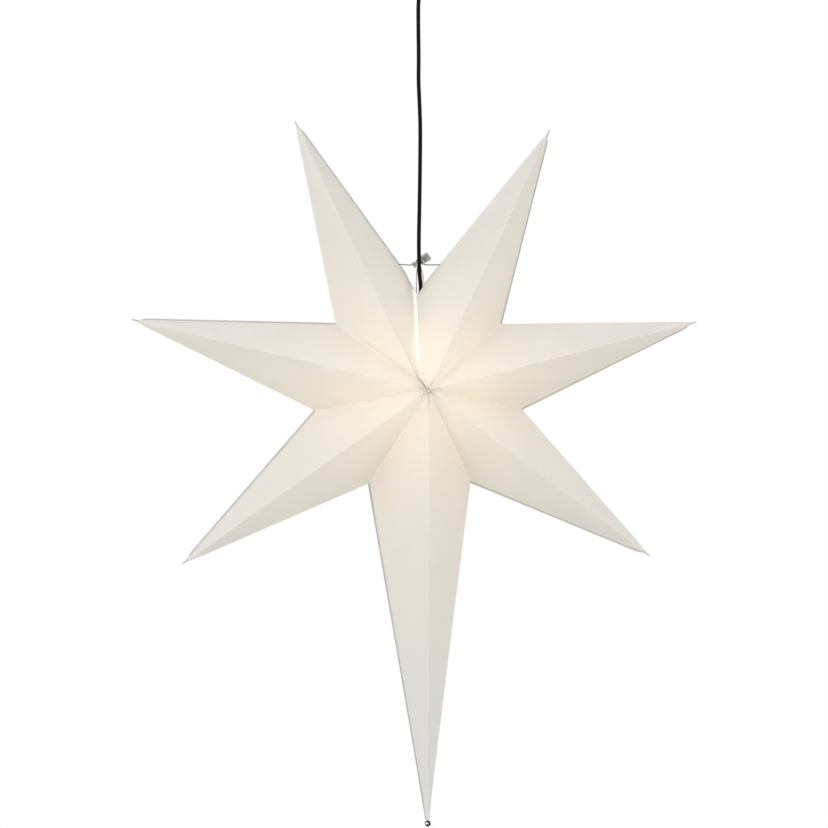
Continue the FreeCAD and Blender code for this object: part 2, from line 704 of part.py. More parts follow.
def holderCap():
    cap = turned(
        [
            ("cordRadius + cordPlay", "capTop"),
            ("collarRadius", "capTop"),
            ("collarRadius", "capTop - collarHeight"),
            ("capRadius - capRim", "shoulder"),
            ("capRadius", "shoulder"),
            ("capRadius", "capFoot"),
            ("capRadius - holderWall", "capFoot"),
            ("capRadius - holderWall", "shoulder - capRoof"),
            ("cordRadius + cordPlay", "shoulder - capRoof"),
        ]
    )
    grip = "capTop - gripDrop - hubDrop"
    hole = cylinder("gripScrew + gripPlay", "collarRadius + past", "0", "0", grip, AXIS_Y)
    keep(cut(lifted(cap, "0"), hole), "holder_cap")
    screw = slimBar("gripScrew", "collarRadius - cordRadius", "cordRadius + slack", "0", grip, AXIS_Y)
    head = slimBar("gripHead", "gripScrew", "collarRadius + slack", "0", grip, AXIS_Y)
    keep(fused(screw, head), "grip_screw")


def holderSkirt():
    narrow = "shellRadius + shellPlay"
    skirt = turned(
        [
            (narrow, "skirtFoot"),
            (f"{narrow} + holderWall", "skirtFoot"),
            (f"{narrow} + holderWall", "capFoot - skirtStep"),
            ("skirtRadius + holderWall / 2", "capFoot - skirtStep"),
            ("skirtRadius + holderWall / 2", "capFoot - 4 * slack"),
            ("skirtRadius - skirtLap", "capFoot - 4 * slack"),
            ("skirtRadius - skirtLap", "coreTop + skirtRim"),
            ("skirtRadius - skirtLining", "coreTop + skirtRim"),
            ("skirtRadius - skirtLining", "coreFoot - 2 * slack"),
            (narrow, "coreFoot - 2 * slack"),
        ]
    )
    keep(lifted(skirt, "0"), "holder_skirt")


def holderCore():
    core = cylinder("skirtRadius - skirtLining - 2 * slack", "coreTop - coreFoot", z="coreFoot - hubDrop")
    floor = "coreFoot + coreFloor - hubDrop"
    below = "coreFoot - past - hubDrop"
    through = "coreTop - coreFoot + 2 * past"
    holes = []
    screws = []
    for side in (1, -1):
        screw_y = f"{side} * coreScrewReach"
        wire_x = f"{side} * coreWireReach"
        holes.append(cylinder("innerWireRadius + wirePlay", through, wire_x, "0", floor))
        holes.append(cylinder("gripScrew + gripPlay", through, "0", screw_y, below))
        shank = slimBar("gripScrew", "coreTop - coreFoot", "0", screw_y, "coreFoot - hubDrop")
        head = slimBar("poleHead", "poleHeadHeight", "0", screw_y, "coreTop - hubDrop")
        screws.append(fused(shank, head))
    keep(cut(core, *holes), "holder_core")
    keep(grouped(*screws), "core_screws")


def screwShell():
    shell = turned(
        [
            ("shellRadius", "skirtFoot + shellRise"),
            ("shellRadius + brass", "skirtFoot + shellRise"),
            ("shellRadius + brass", "coreFoot"),
            ("shellRadius", "coreFoot"),
        ]
    )
    keep(lifted(shell, "0"), "screw_shell")
    contact = slimBar("contactRadius", "coreFoot - bulbTop - 2 * slack", z="bulbTop + 2 * slack - hubDrop")
    keep(contact, "centre_contact")


def innerWires():
    top = size("cordFoot - hubDrop")
    core_top = size("coreTop - hubDrop")
    reach = size("coreWireReach")
    for label, side in (("inner_live_wire", 1), ("inner_neutral_wire", -1)):
        route = [
            (1.3 * side, 0, top),
            (1.3 * side, 0, top - 4.5),
            (reach * side, 0, core_top + 3.5),
            (reach * side, 0, core_top - reach),
        ]
        keep(tube(route, size("innerWireRadius"), label), label)


# ---- bulb ----


def globe(radius, start, end, steps):
    """Corners of a turned outline round the middle of the bulb's glass, from one angle to another."""
    angles = [start + (end - start) * i / steps for i in range(steps + 1)]
    return [(f"({radius}) * cos({a:.1f})", f"bulbMiddle + ({radius}) * sin({a:.1f})") for a in angles]


def bulbGlass():
    lowest, highest = -90, 48
    steps = 6
    neck = [
        ("neckRadius", "skirtFoot - neckDrop"),
        ("neckRadius", "skirtFoot + neckLap"),
        ("neckRadius - glass", "skirtFoot + neckLap"),
        ("neckRadius - glass", "skirtFoot - neckDrop"),
    ]
    outside = globe("bulbRadius", lowest, highest, steps)
    inside = globe("bulbRadius - glass", highest, lowest, steps)
    keep(lifted(turned(outside + neck + inside), "0"), "bulb_glass")


def bulbCap():
    cap = turned(
        [
            ("bulbCapRadius - capSheet", "skirtFoot"),
            ("bulbCapRadius", "skirtFoot"),
            ("bulbCapRadius", "bulbTop - tipRise + capSheet"),
            ("capMouth", "bulbTop - tipRise + capSheet"),
            ("capMouth", "bulbTop - tipRise"),
            ("bulbCapRadius - capSheet", "bulbTop - tipRise"),
        ]
    )
    keep(lifted(cap, "0"), "bulb_cap")
    rim = "bulbTop - tipRise - hubDrop"
    disc = cylinder("capMouth - 3 * slack", "insulatorHeight", z=rim)
    neck = cylinder("tipRadius + 2 * capSheet", "tipRise - tipHeight", z=rim)
    keep(fused(disc, neck), "bulb_insulator")
    keep(cylinder("tipRadius", "tipHeight", z="bulbTop - tipHeight - hubDrop"), "bulb_tip_contact")


def filaments():
    """The glass stem with two crosses of arms, and the four filaments between them."""
    seat = "skirtFoot + neckLap / 2"
    stem = [slimBar("neckRadius - glass", "seatHeight", z=f"{seat} - hubDrop")]
    stem.append(slimBar("stemRod", f"{seat} - filamentFoot", z="filamentFoot - hubDrop"))
    for height in ("filamentTop", "filamentFoot"):
        level = f"{height} - hubDrop"
        stem.append(slimBar("armRadius", "2 * armReach", "-armReach", "0", level, AXIS_Y))
        stem.append(slimBar("armRadius", "2 * armReach", "0", "armReach", level, Vector(1, 0, 0)))
    keep(fused(*stem), "bulb_stem")
    gap = "armRadius + slack"
    rods = []
    for x, y in ((1, 0), (-1, 0), (0, 1), (0, -1)):
        place = (f"{x} * filamentReach", f"{y} * filamentReach", f"filamentFoot + {gap} - hubDrop")
        rods.append(slimBar("filamentRadius", f"filamentTop - filamentFoot - 2 * ({gap})", *place))
    keep(grouped(*rods), "bulb_filaments")


# ---- strings, cord lock and bead ----


def strings():
    for label, route in (("left_string", LEFT_STRING), ("right_string", RIGHT_STRING)):
        lowered = [(x, y, z - size("hubDrop")) for x, y, z in route]
        keep(tube(lowered, size("stringRadius"), label, HOLE_BEND), label)
    knots = []
    for x, height in (LEFT_KNOT, RIGHT_KNOT):
        knots.append(slimBar("knotRadius", "knotLength", str(x), "0", f"{height} - hubDrop", AXIS_Y))
    keep(grouped(*knots), "string_knots")


def atLock(thing):
    """Puts a piece drawn about the lock's own axis at its place behind the cord."""
    thing.Placement.Rotation = FreeCAD.Rotation(AXIS_Y, size("lockTilt"))
    drive(thing, Placement_Base_x="lockSide", Placement_Base_y="lockDepth")
    return drive(thing, Placement_Base_z="lockHeight - hubDrop")


def lockSlot(height, start):
    """The way for the strings across the lock."""
    deep = "16"
    return block("lockHoleWidth", deep, height, "-lockHoleWidth / 2", f"-{deep} / 2", start)


def cordLock():
    housing = turned(
        [
            ("lockBore", "pressTravel"),
            ("lockNeck", "pressTravel"),
            ("lockNeck", "lockHole + lockHoleHeight"),
            ("lockRadius", "lockHole + lockHoleHeight + lockCone"),
            ("lockRadius", "lockEnd - lockBevel"),
            ("lockRadius - lockBevel", "lockEnd"),
            ("0", "lockEnd"),
            ("0", "lockFloor"),
            ("lockBore", "lockFloor"),
        ]
    )
    start = "lockHole - lockHoleHeight / 2"
    keep(atLock(cut(housing, lockSlot("lockHoleHeight", start))), "lock_housing")
    button = turned(
        [
            ("0", "-buttonHeight"),
            ("buttonRadius - buttonBevel", "-buttonHeight"),
            ("buttonRadius", "-buttonHeight + buttonBevel"),
            ("buttonRadius", "0"),
            ("plungerRadius", "0"),
            ("plungerRadius", "plungerEnd"),
            ("0", "plungerEnd"),
        ]
    )
    slot = lockSlot("pressTravel + lockHoleHeight - slotLip", f"{start} - pressTravel")
    keep(atLock(cut(button, slot)), "lock_button")
    wire = size("springWire")
    low = size("plungerEnd + springSlack") + wire / 2
    high = size("lockFloor - springSlack") - wire / 2
    spring = coil(size("springRadius"), wire, low, high - low, size("springTurns"), "lock_spring")
    keep(atLock(spring), "lock_spring")


def bead():
    direction = [point[1] for point in POINTS if point[0] == "tail_point"][0]
    ball = doc.addObject("Part::Sphere", "ball")
    drive(ball, Radius="beadRadius", Placement_Base_z="beadReach")
    bore = cylinder("pinRadius + slack", "2 * (beadRadius + past)", z="beadReach - beadRadius - past")
    keep(atHub(cut(ball, bore), direction), "tail_bead")
    start = "tailReach - pinTuck"
    pin = cylinder("pinRadius", f"beadReach + beadRadius - ({start})", z=start)
    nub = cylinder("pinHead", "pinHeadHeight", z="beadReach + beadRadius")
    keep(atHub(fused(pin, nub), direction), "bead_pin")


def finish():
    """Checks the document and writes each sub-part's file."""
    doc.recompute()
    for thing in doc.Objects:
        if "Invalid" in thing.State or "Error" in thing.State:
            raise RuntimeError(f"{thing.Name} ({thing.Label}) is {thing.State}")
    for thing in finished:
        shape = thing.Shape
        if shape.isNull() or not shape.isValid():
            raise RuntimeError(f"{thing.Label} has no valid shape")
        shape.exportStep(f"parts/{thing.Label}.step")
        print(f"{thing.Label}: {len(shape.Solids)} solids, {shape.Volume:.0f} mm3")


ceilingPlate()
ceilingCup()
cordBush()
terminals()
cord()
holderCap()
holderSkirt()
holderCore()
screwShell()
innerWires()
bulbGlass()
bulbCap()
filaments()
star()
strings()
cordLock()
bead()
finish()
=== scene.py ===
import math

import bmesh
import bpy
import numpy as np
from mathutils import Matrix, Vector


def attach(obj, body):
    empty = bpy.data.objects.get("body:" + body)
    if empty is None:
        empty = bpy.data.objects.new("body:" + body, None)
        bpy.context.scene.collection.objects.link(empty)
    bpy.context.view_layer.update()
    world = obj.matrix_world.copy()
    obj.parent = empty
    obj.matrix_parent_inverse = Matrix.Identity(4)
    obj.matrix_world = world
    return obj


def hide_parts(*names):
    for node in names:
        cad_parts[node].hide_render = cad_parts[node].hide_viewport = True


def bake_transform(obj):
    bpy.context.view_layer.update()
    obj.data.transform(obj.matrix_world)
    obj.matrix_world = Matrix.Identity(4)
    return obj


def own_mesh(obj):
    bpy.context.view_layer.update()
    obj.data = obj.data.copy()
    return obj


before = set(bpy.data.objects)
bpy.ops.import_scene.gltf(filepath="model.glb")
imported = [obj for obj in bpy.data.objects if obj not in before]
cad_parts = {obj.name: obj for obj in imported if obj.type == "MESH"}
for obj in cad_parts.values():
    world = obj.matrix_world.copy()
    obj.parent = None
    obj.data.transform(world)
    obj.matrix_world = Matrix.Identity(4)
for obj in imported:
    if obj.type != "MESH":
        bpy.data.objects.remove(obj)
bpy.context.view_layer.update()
mm = 0.001
starMiddle = np.array([-1.5, 0, -640])  # millimetres, below the ceiling and a little to the left of the cord
print("frame loaded:", len(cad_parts), "nodes")

# The photograph is taken from a little to the left of the star, nearly level, from 3.5 m away.
cameraSet = {
    "distance": 3.545,
    "azimuth": -6.55,
    "pitch": 0.5,
    "lens": 108.7,
    "aim": (-0.0082, 0, -0.6743),  # what the middle of the picture shows
}


def makeCamera():
    turn, tilt = math.radians(cameraSet["azimuth"]), math.radians(cameraSet["pitch"])
    back = Vector((math.sin(turn) * math.cos(tilt), -math.cos(turn) * math.cos(tilt), math.sin(tilt)))
    camera = bpy.data.objects.new("camera", bpy.data.cameras.new("camera"))
    camera.data.lens = cameraSet["lens"]
    camera.data.sensor_width = 36
    camera.data.clip_end = 100
    camera.location = Vector(starMiddle) * mm + back * cameraSet["distance"]
    camera.rotation_mode = "QUATERNION"
    camera.rotation_quaternion = (Vector(cameraSet["aim"]) - camera.location).to_track_quat("-Z", "Y")
    bpy.context.scene.collection.objects.link(camera)
    bpy.context.scene.camera = camera


studio = {
    "above": (0.9, 0.925, 0.955),  # soft light from above and from below
    "below": (0.8, 0.71, 0.53),
    "between": (-0.65, 0.4),  # sines of the rise between which one turns into the other
    "lamps": {
        # place from the star's middle in metres, width, watts and colour
        "key": ((-2.3, -2.2, 0.9), 2.4, 26, (1.0, 0.99, 0.97)),
        "fill": ((2.6, -1.9, 0.3), 2.2, 14, (1.0, 0.96, 0.89)),
    },
    "floorDrop": -2.25,
    "floorRadius": 3.2,
    "floorEdge": 40,  # thickness and easing of its rim in millimetres
    "floorColour": (0.86, 0.86, 0.855),
}


def plainlySeen(nodes, links):
    # 1 for the camera, for mirrors and through glass, and 0 for the light that falls on things
    path = nodes.new("ShaderNodeLightPath")
    found = path.outputs["Is Camera Ray"]
    for ray in ("Is Glossy Ray", "Is Transmission Ray"):
        either = nodes.new("ShaderNodeMath")
        either.operation = "MAXIMUM"
        links.new(found, either.inputs[0])
        links.new(path.outputs[ray], either.inputs[1])
        found = either.outputs[0]
    return found


def makeWorld():
    world = bpy.data.worlds.new("studio")
    bpy.context.scene.world = world
    world.use_nodes = True
    nodes, links = world.node_tree.nodes, world.node_tree.links
    nodes.clear()
    white = nodes.new("ShaderNodeBackground")
    white.inputs["Color"].default_value = (1, 1, 1, 1)
    soft = nodes.new("ShaderNodeBackground")
    where = nodes.new("ShaderNodeTexCoord")
    height = nodes.new("ShaderNodeSeparateXYZ")
    links.new(where.outputs["Generated"], height.inputs[0])
    rise = nodes.new("ShaderNodeMapRange")
    rise.inputs["From Min"].default_value, rise.inputs["From Max"].default_value = studio["between"]
    links.new(height.outputs["Z"], rise.inputs["Value"])
    blend = nodes.new("ShaderNodeMix")
    blend.data_type = "RGBA"
    blend.inputs["A"].default_value = (*studio["below"], 1)
    blend.inputs["B"].default_value = (*studio["above"], 1)
    links.new(rise.outputs["Result"], blend.inputs["Factor"])
    links.new(blend.outputs["Result"], soft.inputs["Color"])
    mix = nodes.new("ShaderNodeMixShader")
    out = nodes.new("ShaderNodeOutputWorld")
    links.new(plainlySeen(nodes, links), mix.inputs[0])
    links.new(soft.outputs[0], mix.inputs[1])
    links.new(white.outputs[0], mix.inputs[2])
    links.new(mix.outputs[0], out.inputs[0])


def makeLamps():
    for name, (place, width, watts, colour) in studio["lamps"].items():
        data = bpy.data.lights.new(name, "AREA")
        data.shape = "DISK"
        data.size = width
        data.energy = watts
        data.color = colour
        lamp = bpy.data.objects.new(name, data)
        lamp.location = Vector(starMiddle) * mm + Vector(place)
        lamp.rotation_mode = "QUATERNION"
        lamp.rotation_quaternion = (-Vector(place)).to_track_quat("-Z", "Y")
        bpy.context.scene.collection.objects.link(lamp)


bpy.context.scene.view_settings.view_transform = "Standard"
makeCamera()
makeWorld()
makeLamps()
print("camera, world and lamps made")


def eased(amount):
    # t^2 (3 - 2 t), from 0 to 1
    t = np.clip(amount, 0, 1)
    return t * t * (3 - 2 * t)


def gridMesh(name, grid, merge=1e-6, sharp=40, marks=None):
    # One quad between each four neighbours of a grid of points, in metres. Points that meet are joined, which
    # closes seams and poles. marks are named values, one for each point.
    rows, cols = grid.shape[:2]
    index = np.arange(rows * cols).reshape(rows, cols)
    quads = np.stack([index[:-1, :-1], index[:-1, 1:], index[1:, 1:], index[1:, :-1]], -1).reshape(-1, 4)
    mesh = bpy.data.meshes.new(name)
    mesh.from_pydata(grid.reshape(-1, 3).tolist(), [], quads.tolist())
    across, along = np.meshgrid(np.linspace(0, 1, cols), np.linspace(0, 1, rows))
    uv = np.stack([across.ravel(), along.ravel()], -1)[quads.ravel()]
    mesh.uv_layers.new(name="surface").data.foreach_set("uv", uv.astype(np.float32).ravel())
    for mark, values in (marks or {}).items():
        mesh.attributes.new(mark, "FLOAT", "POINT").data.foreach_set("value", values.astype(np.float32).ravel())
    joined = bmesh.new()
    joined.from_mesh(mesh)
    bmesh.ops.remove_doubles(joined, verts=joined.verts, dist=merge)
    bmesh.ops.dissolve_degenerate(joined, edges=joined.edges, dist=merge / 2)
    bmesh.ops.recalc_face_normals(joined, faces=joined.faces)
    joined.to_mesh(mesh)
    joined.free()
    mesh.shade_smooth()
    mesh.set_sharp_from_angle(angle=math.radians(sharp))
    return mesh


def piece(name, mesh, material, body, replaces=()):
    # A finished piece on its body, in place of the nodes that it stands for.
    made = bpy.data.objects.new(name, mesh)
    bpy.context.scene.collection.objects.link(made)
    mesh.materials.clear()
    mesh.materials.append(material)
    if body:
        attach(made, body)
    if replaces:
        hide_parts(*replaces)
    return made


def dressed(node, material, bevel=0.3):
    # A node that keeps its own shape, with eased edges and a better finish.
    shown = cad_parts[node]
    shown.data.materials.clear()
    shown.data.materials.append(material)
    if bevel:
        edges = shown.modifiers.new("easedEdges", "BEVEL")
        edges.width = bevel * mm
        edges.segments = 2
        edges.limit_method = "ANGLE"


def placed(grid, place=(0, 0, 0), tilt=0.0):
    # A grid in millimetres turned about Y by tilt degrees and set at a place, in metres.
    turn = Matrix.Rotation(math.radians(tilt), 3, "Y")
    return (grid @ np.array(turn).T + np.asarray(place, float)) * mm


def easedProfile(corners):
    # Corners (radius, height, easing), each eased as start (1 - t)^2 + corner 2 t (1 - t) + end t^2.
    places = np.array([corner[:2] for corner in corners], float)
    steps = np.linspace(0, 1, 6)[:, None]
    outline = []
    for i, corner in enumerate(corners):
        here, before, after = places[i], places[i - 1], places[(i + 1) % len(corners)]
        easing = corner[2] if len(corner) > 2 else 0
        if not easing:
            outline.append(here[None])
            continue
        start = here + (before - here) * easing / np.linalg.norm(before - here)
        end = here + (after - here) * easing / np.linalg.norm(after - here)
        outline.append(start * (1 - steps) ** 2 + here * 2 * steps * (1 - steps) + end * steps**2)
    return np.concatenate(outline)


def turnedGrid(corners, count=64, closed=True, ripple=None):
    # A profile turned about Z: x = r cos a, y = r sin a. Closed profiles run once round a wall's section, and
    # the others begin and end on the axis. ripple(radius, height, angle) gives a new radius.
    profile = easedProfile(corners)
    if closed:
        profile = np.concatenate([profile, profile[:1]])
    angle = np.linspace(0, 2 * math.pi, count + 1)[None, :]
    radius, height = profile[:, :1] + 0 * angle, profile[:, 1:] + 0 * angle
    if ripple:
        radius = ripple(radius, height, angle)
    return np.stack([radius * np.cos(angle), radius * np.sin(angle), height], -1)


def cutMesh(made, tool):
    # Takes the tool's shape out of a piece.
    cutter = bpy.data.objects.new("cutter", tool)
    bpy.context.scene.collection.objects.link(cutter)
    cut = made.modifiers.new("cut", "BOOLEAN")
    cut.operation = "DIFFERENCE"
    cut.solver = "EXACT"
    cut.object = cutter
    bpy.context.view_layer.update()
    result = bpy.data.meshes.new_from_object(made.evaluated_get(bpy.context.evaluated_depsgraph_get()))
    made.modifiers.clear()
    made.data = result
    bpy.data.objects.remove(cutter)


def rodMesh(start, end, radius, count=24):
    # A plain bar between two places in millimetres, to cut holes with.
    start, end = Vector(start) * mm, Vector(end) * mm
    place = Matrix.Translation((start + end) / 2) @ (end - start).to_track_quat("Z", "Y").to_matrix().to_4x4()
    mesh = bpy.data.meshes.new("rod")
    shape = bmesh.new()
    wide, long = radius * mm, (end - start).length
    bmesh.ops.create_cone(shape, cap_ends=True, segments=count, radius1=wide, radius2=wide, depth=long,
                          matrix=place)
    shape.to_mesh(mesh)
    shape.free()
    return mesh


def boxMesh(size, place, tilt=0.0):
    # A box about a place in millimetres, turned about Y by tilt degrees, to cut slots with.
    mesh = bpy.data.meshes.new("box")
    shape = bmesh.new()
    turn = Matrix.Rotation(math.radians(tilt), 4, "Y")
    scale = Matrix.Diagonal((*[length * mm for length in size], 1))
    bmesh.ops.create_cube(shape, size=1, matrix=Matrix.Translation(Vector(place) * mm) @ turn @ scale)
    shape.to_mesh(mesh)
    shape.free()
    return mesh


def smoothLine(route, step):
    # Places a step apart along the NURBS line that has a route's points, in millimetres, as its control points.
    curve = bpy.data.curves.new("line", "CURVE")
    curve.dimensions = "3D"
    curve.resolution_u = 24
    spline = curve.splines.new("NURBS")
    spline.points.add(len(route) - 1)
    flat = np.concatenate([np.array(route, float) * mm, np.ones((len(route), 1))], 1)
    spline.points.foreach_set("co", flat.ravel())
    spline.order_u = 3
    spline.use_endpoint_u = True
    holder = bpy.data.objects.new("line", curve)
    bpy.context.scene.collection.objects.link(holder)
    bpy.context.view_layer.update()
    mesh = bpy.data.meshes.new_from_object(holder.evaluated_get(bpy.context.evaluated_depsgraph_get()))
    line = np.zeros(len(mesh.vertices) * 3)
    mesh.vertices.foreach_get("co", line)
    line = line.reshape(-1, 3)
    bpy.data.objects.remove(holder)
    gone = np.concatenate([[0], np.cumsum(np.linalg.norm(np.diff(line, axis=0), axis=1))])
    stations = np.linspace(0, gone[-1], max(int(gone[-1] / (step * mm)), 4) + 1)
    return np.stack([np.interp(stations, gone, line[:, k]) for k in range(3)], -1), stations


def tubeGrid(line, radius, across, count, roundEnds=0.35):
    # A wall round a line: line + radius (cos a * side + sin a * other), where side and other are square to it.
    # The ends are closed by rings that shrink as a quarter circle.
    along = np.gradient(line, axis=0)
    along /= np.linalg.norm(along, axis=1, keepdims=True)
    side = np.cross(along, across)
    side /= np.linalg.norm(side, axis=1, keepdims=True)
    other = np.cross(along, side)
    angle = np.linspace(0, 2 * math.pi, count + 1)
    size = np.broadcast_to(np.asarray(radius, float), (len(line), count + 1))
    spoke = np.cos(angle)[None, :, None] * side[:, None] + np.sin(angle)[None, :, None] * other[:, None]
    wall = line[:, None] + size[..., None] * spoke
    turn = np.linspace(0, math.pi / 2, 5)[:-1]
    width, bulge = np.sin(turn)[:, None, None], (np.cos(turn) * roundEnds)[:, None, None]
    first = line[0] + width * (wall[0] - line[0]) - bulge * along[0] * size[0, 0]
    last = line[-1] + width * (wall[-1] - line[-1]) + bulge * along[-1] * size[-1, 0]
    return np.concatenate([first, wall, last[::-1]])


def newMaterial(name):
    made = bpy.data.materials.new(name)
    made.use_nodes = True
    nodes, links = made.node_tree.nodes, made.node_tree.links
    return made, nodes, links, nodes["Principled BSDF"]


def pattern(nodes, links, kind, scale, stretch=(1, 1, 1)):
    # A pattern on Object coordinates, in metres.
    where = nodes.new("ShaderNodeTexCoord")
    place = nodes.new("ShaderNodeMapping")
    place.inputs["Scale"].default_value = stretch
    made = nodes.new(kind)
    made.inputs["Scale"].default_value = scale
    links.new(where.outputs["Object"], place.inputs["Vector"])
    links.new(place.outputs["Vector"], made.inputs["Vector"])
    return made


def spread(nodes, links, value, low, high):
    change = nodes.new("ShaderNodeMapRange")
    change.inputs["To Min"].default_value = low
    change.inputs["To Max"].default_value = high
    links.new(value, change.inputs["Value"])
    return change.outputs["Result"]


def tinted(nodes, links, value, dark, pale):
    mix = nodes.new("ShaderNodeMix")
    mix.data_type = "RGBA"
    mix.inputs["A"].default_value = (*dark, 1)
    mix.inputs["B"].default_value = (*pale, 1)
    links.new(value, mix.inputs["Factor"])
    return mix.outputs["Result"]


def attributeValue(nodes, name):
    mark = nodes.new("ShaderNodeAttribute")
    mark.attribute_name = name
    return mark.outputs["Fac"]


def darkened(nodes, links, colour, amount, shade):
    # colour (1 - amount + amount shade)
    mix = nodes.new("ShaderNodeMix")
    mix.data_type = "RGBA"
    mix.blend_type = "MULTIPLY"
    mix.inputs["B"].default_value = (*[shade] * 3, 1)
    links.new(amount, mix.inputs["Factor"])
    links.new(colour, mix.inputs["A"])
    return mix.outputs["Result"]


def fading(nodes, links, between, low=0.0, high=1.0):
    # low at the first of two heights and high at the second, in metres.
    where = nodes.new("ShaderNodeTexCoord")
    height = nodes.new("ShaderNodeSeparateXYZ")
    links.new(where.outputs["Object"], height.inputs[0])
    fade = nodes.new("ShaderNodeMapRange")
    fade.inputs["From Min"].default_value, fade.inputs["From Max"].default_value = between
    fade.inputs["To Min"].default_value, fade.inputs["To Max"].default_value = low, high
    links.new(height.outputs["Z"], fade.inputs["Value"])
    return fade.outputs["Result"]


def bumped(nodes, links, height, distance):
    bump = nodes.new("ShaderNodeBump")
    bump.inputs["Distance"].default_value = distance
    links.new(height, bump.inputs["Height"])
    return bump.outputs["Normal"]


def grainedMaterial(name, look):
    # A fine grain varies the colour, the gloss and the height. With a reflection contrast the colour becomes
    # painted reflection, dark and bright patches.
    made, nodes, links, shader = newMaterial(name)
    grain = pattern(nodes, links, "ShaderNodeTexNoise", look["scale"], look.get("stretch", (1, 1, 1)))
    grain.inputs["Detail"].default_value = 5
    value = grain.outputs["Fac"]
    marked = value
    if "paintedReflectionContrast" in look:
        # Painted reflection: dark and bright patches, as a small mirror ball shows them
        grain.inputs["Detail"].default_value = 0
        marked = spread(nodes, links, value, 0.5 - look["paintedReflectionContrast"] / 2, 0.5 + look["paintedReflectionContrast"] / 2)
    links.new(tinted(nodes, links, marked, look["dark"], look["pale"]), shader.inputs["Base Color"])
    links.new(spread(nodes, links, value, *look["roughness"]), shader.inputs["Roughness"])
    links.new(bumped(nodes, links, value, look["bump"] * mm), shader.inputs["Normal"])
    shader.inputs["Metallic"].default_value = look.get("metal", 0)
    shader.inputs["Coat Weight"].default_value = look.get("coat", 0)
    shader.inputs["Coat Roughness"].default_value = 0.1
    return made


# Base colours from dark to pale grain, roughness range, and the bump's height in millimetres.
grained = {
    "zinc": dict(scale=260, dark=(0.52, 0.53, 0.54), pale=(0.68, 0.69, 0.7), roughness=(0.3, 0.45), bump=0.02,
                 metal=1, stretch=(1, 6, 1)),
    "enamel": dict(scale=900, dark=(0.011, 0.011, 0.012), pale=(0.02, 0.02, 0.021), roughness=(0.32, 0.42),
                   bump=0.02, coat=0.3),
    "nylon": dict(scale=1400, dark=(0.018, 0.018, 0.019), pale=(0.032, 0.032, 0.033), roughness=(0.5, 0.62),
                  bump=0.03),
    "whiteNylon": dict(scale=1200, dark=(0.74, 0.73, 0.69), pale=(0.82, 0.81, 0.77), roughness=(0.42, 0.52),
                       bump=0.02),
    "brass": dict(scale=420, dark=(0.6, 0.43, 0.17), pale=(0.78, 0.59, 0.27), roughness=(0.24, 0.36), bump=0.01,
                  metal=1),
    "brownJacket": dict(scale=900, dark=(0.12, 0.05, 0.025), pale=(0.16, 0.07, 0.033), roughness=(0.42, 0.5),
                        bump=0.01),
    "blueJacket": dict(scale=900, dark=(0.03, 0.09, 0.34), pale=(0.045, 0.12, 0.42), roughness=(0.42, 0.5),
                       bump=0.01),
    "bakelite": dict(scale=500, dark=(0.012, 0.011, 0.01), pale=(0.022, 0.019, 0.017), roughness=(0.22, 0.34),
                     bump=0.01, coat=0.25),
    "porcelain": dict(scale=300, dark=(0.78, 0.76, 0.71), pale=(0.86, 0.84, 0.8), roughness=(0.12, 0.2),
                      bump=0.01, coat=0.6),
    "nickel": dict(scale=380, dark=(0.62, 0.61, 0.58), pale=(0.78, 0.77, 0.75), roughness=(0.2, 0.32), bump=0.01,
                   metal=1),
    "blackGlass": dict(scale=600, dark=(0.01, 0.01, 0.015), pale=(0.02, 0.02, 0.03), roughness=(0.06, 0.12),
                       bump=0.01),
    "springSteel": dict(scale=900, dark=(0.5, 0.5, 0.5), pale=(0.64, 0.64, 0.65), roughness=(0.2, 0.3),
                        bump=0.005, metal=1),
    # chrome: its dark and pale are painted reflection patches, not grain
    "chrome": dict(scale=190, dark=(0.0, 0.0, 0.0), pale=(0.95, 0.95, 0.96), roughness=(0.05, 0.11), bump=0.002,
                   metal=1, paintedReflectionContrast=4.5),
}

paperLook = {
    "colour": (0.865, 0.857, 0.838),
    "clouding": (0.97, 1.03),  # shades of that colour
    "fibres": 700,
    "clouds": 26,
    "roughness": (0.78, 0.92),
    "bump": 0.06,
    "through": (0.97, 0.9, 0.77),  # what the sheet lets through
    "share": 0.3,
    "layeredShare": 0.1,
    "layeredPaintedShade": 0.86,  # painted shade: how much darker glued strips and the tips are drawn
    "creasePaintedShade": 0.35,  # painted shade of tight folds, edge strips and tips
    # painted glow: emission colour and strength of the seams and of the sheet beside the tied seam, standing in
    # for the lamp's light
    "paintedGlowColour": (1.0, 0.93, 0.8),
    "paintedGlowStrength": 0.4,
}


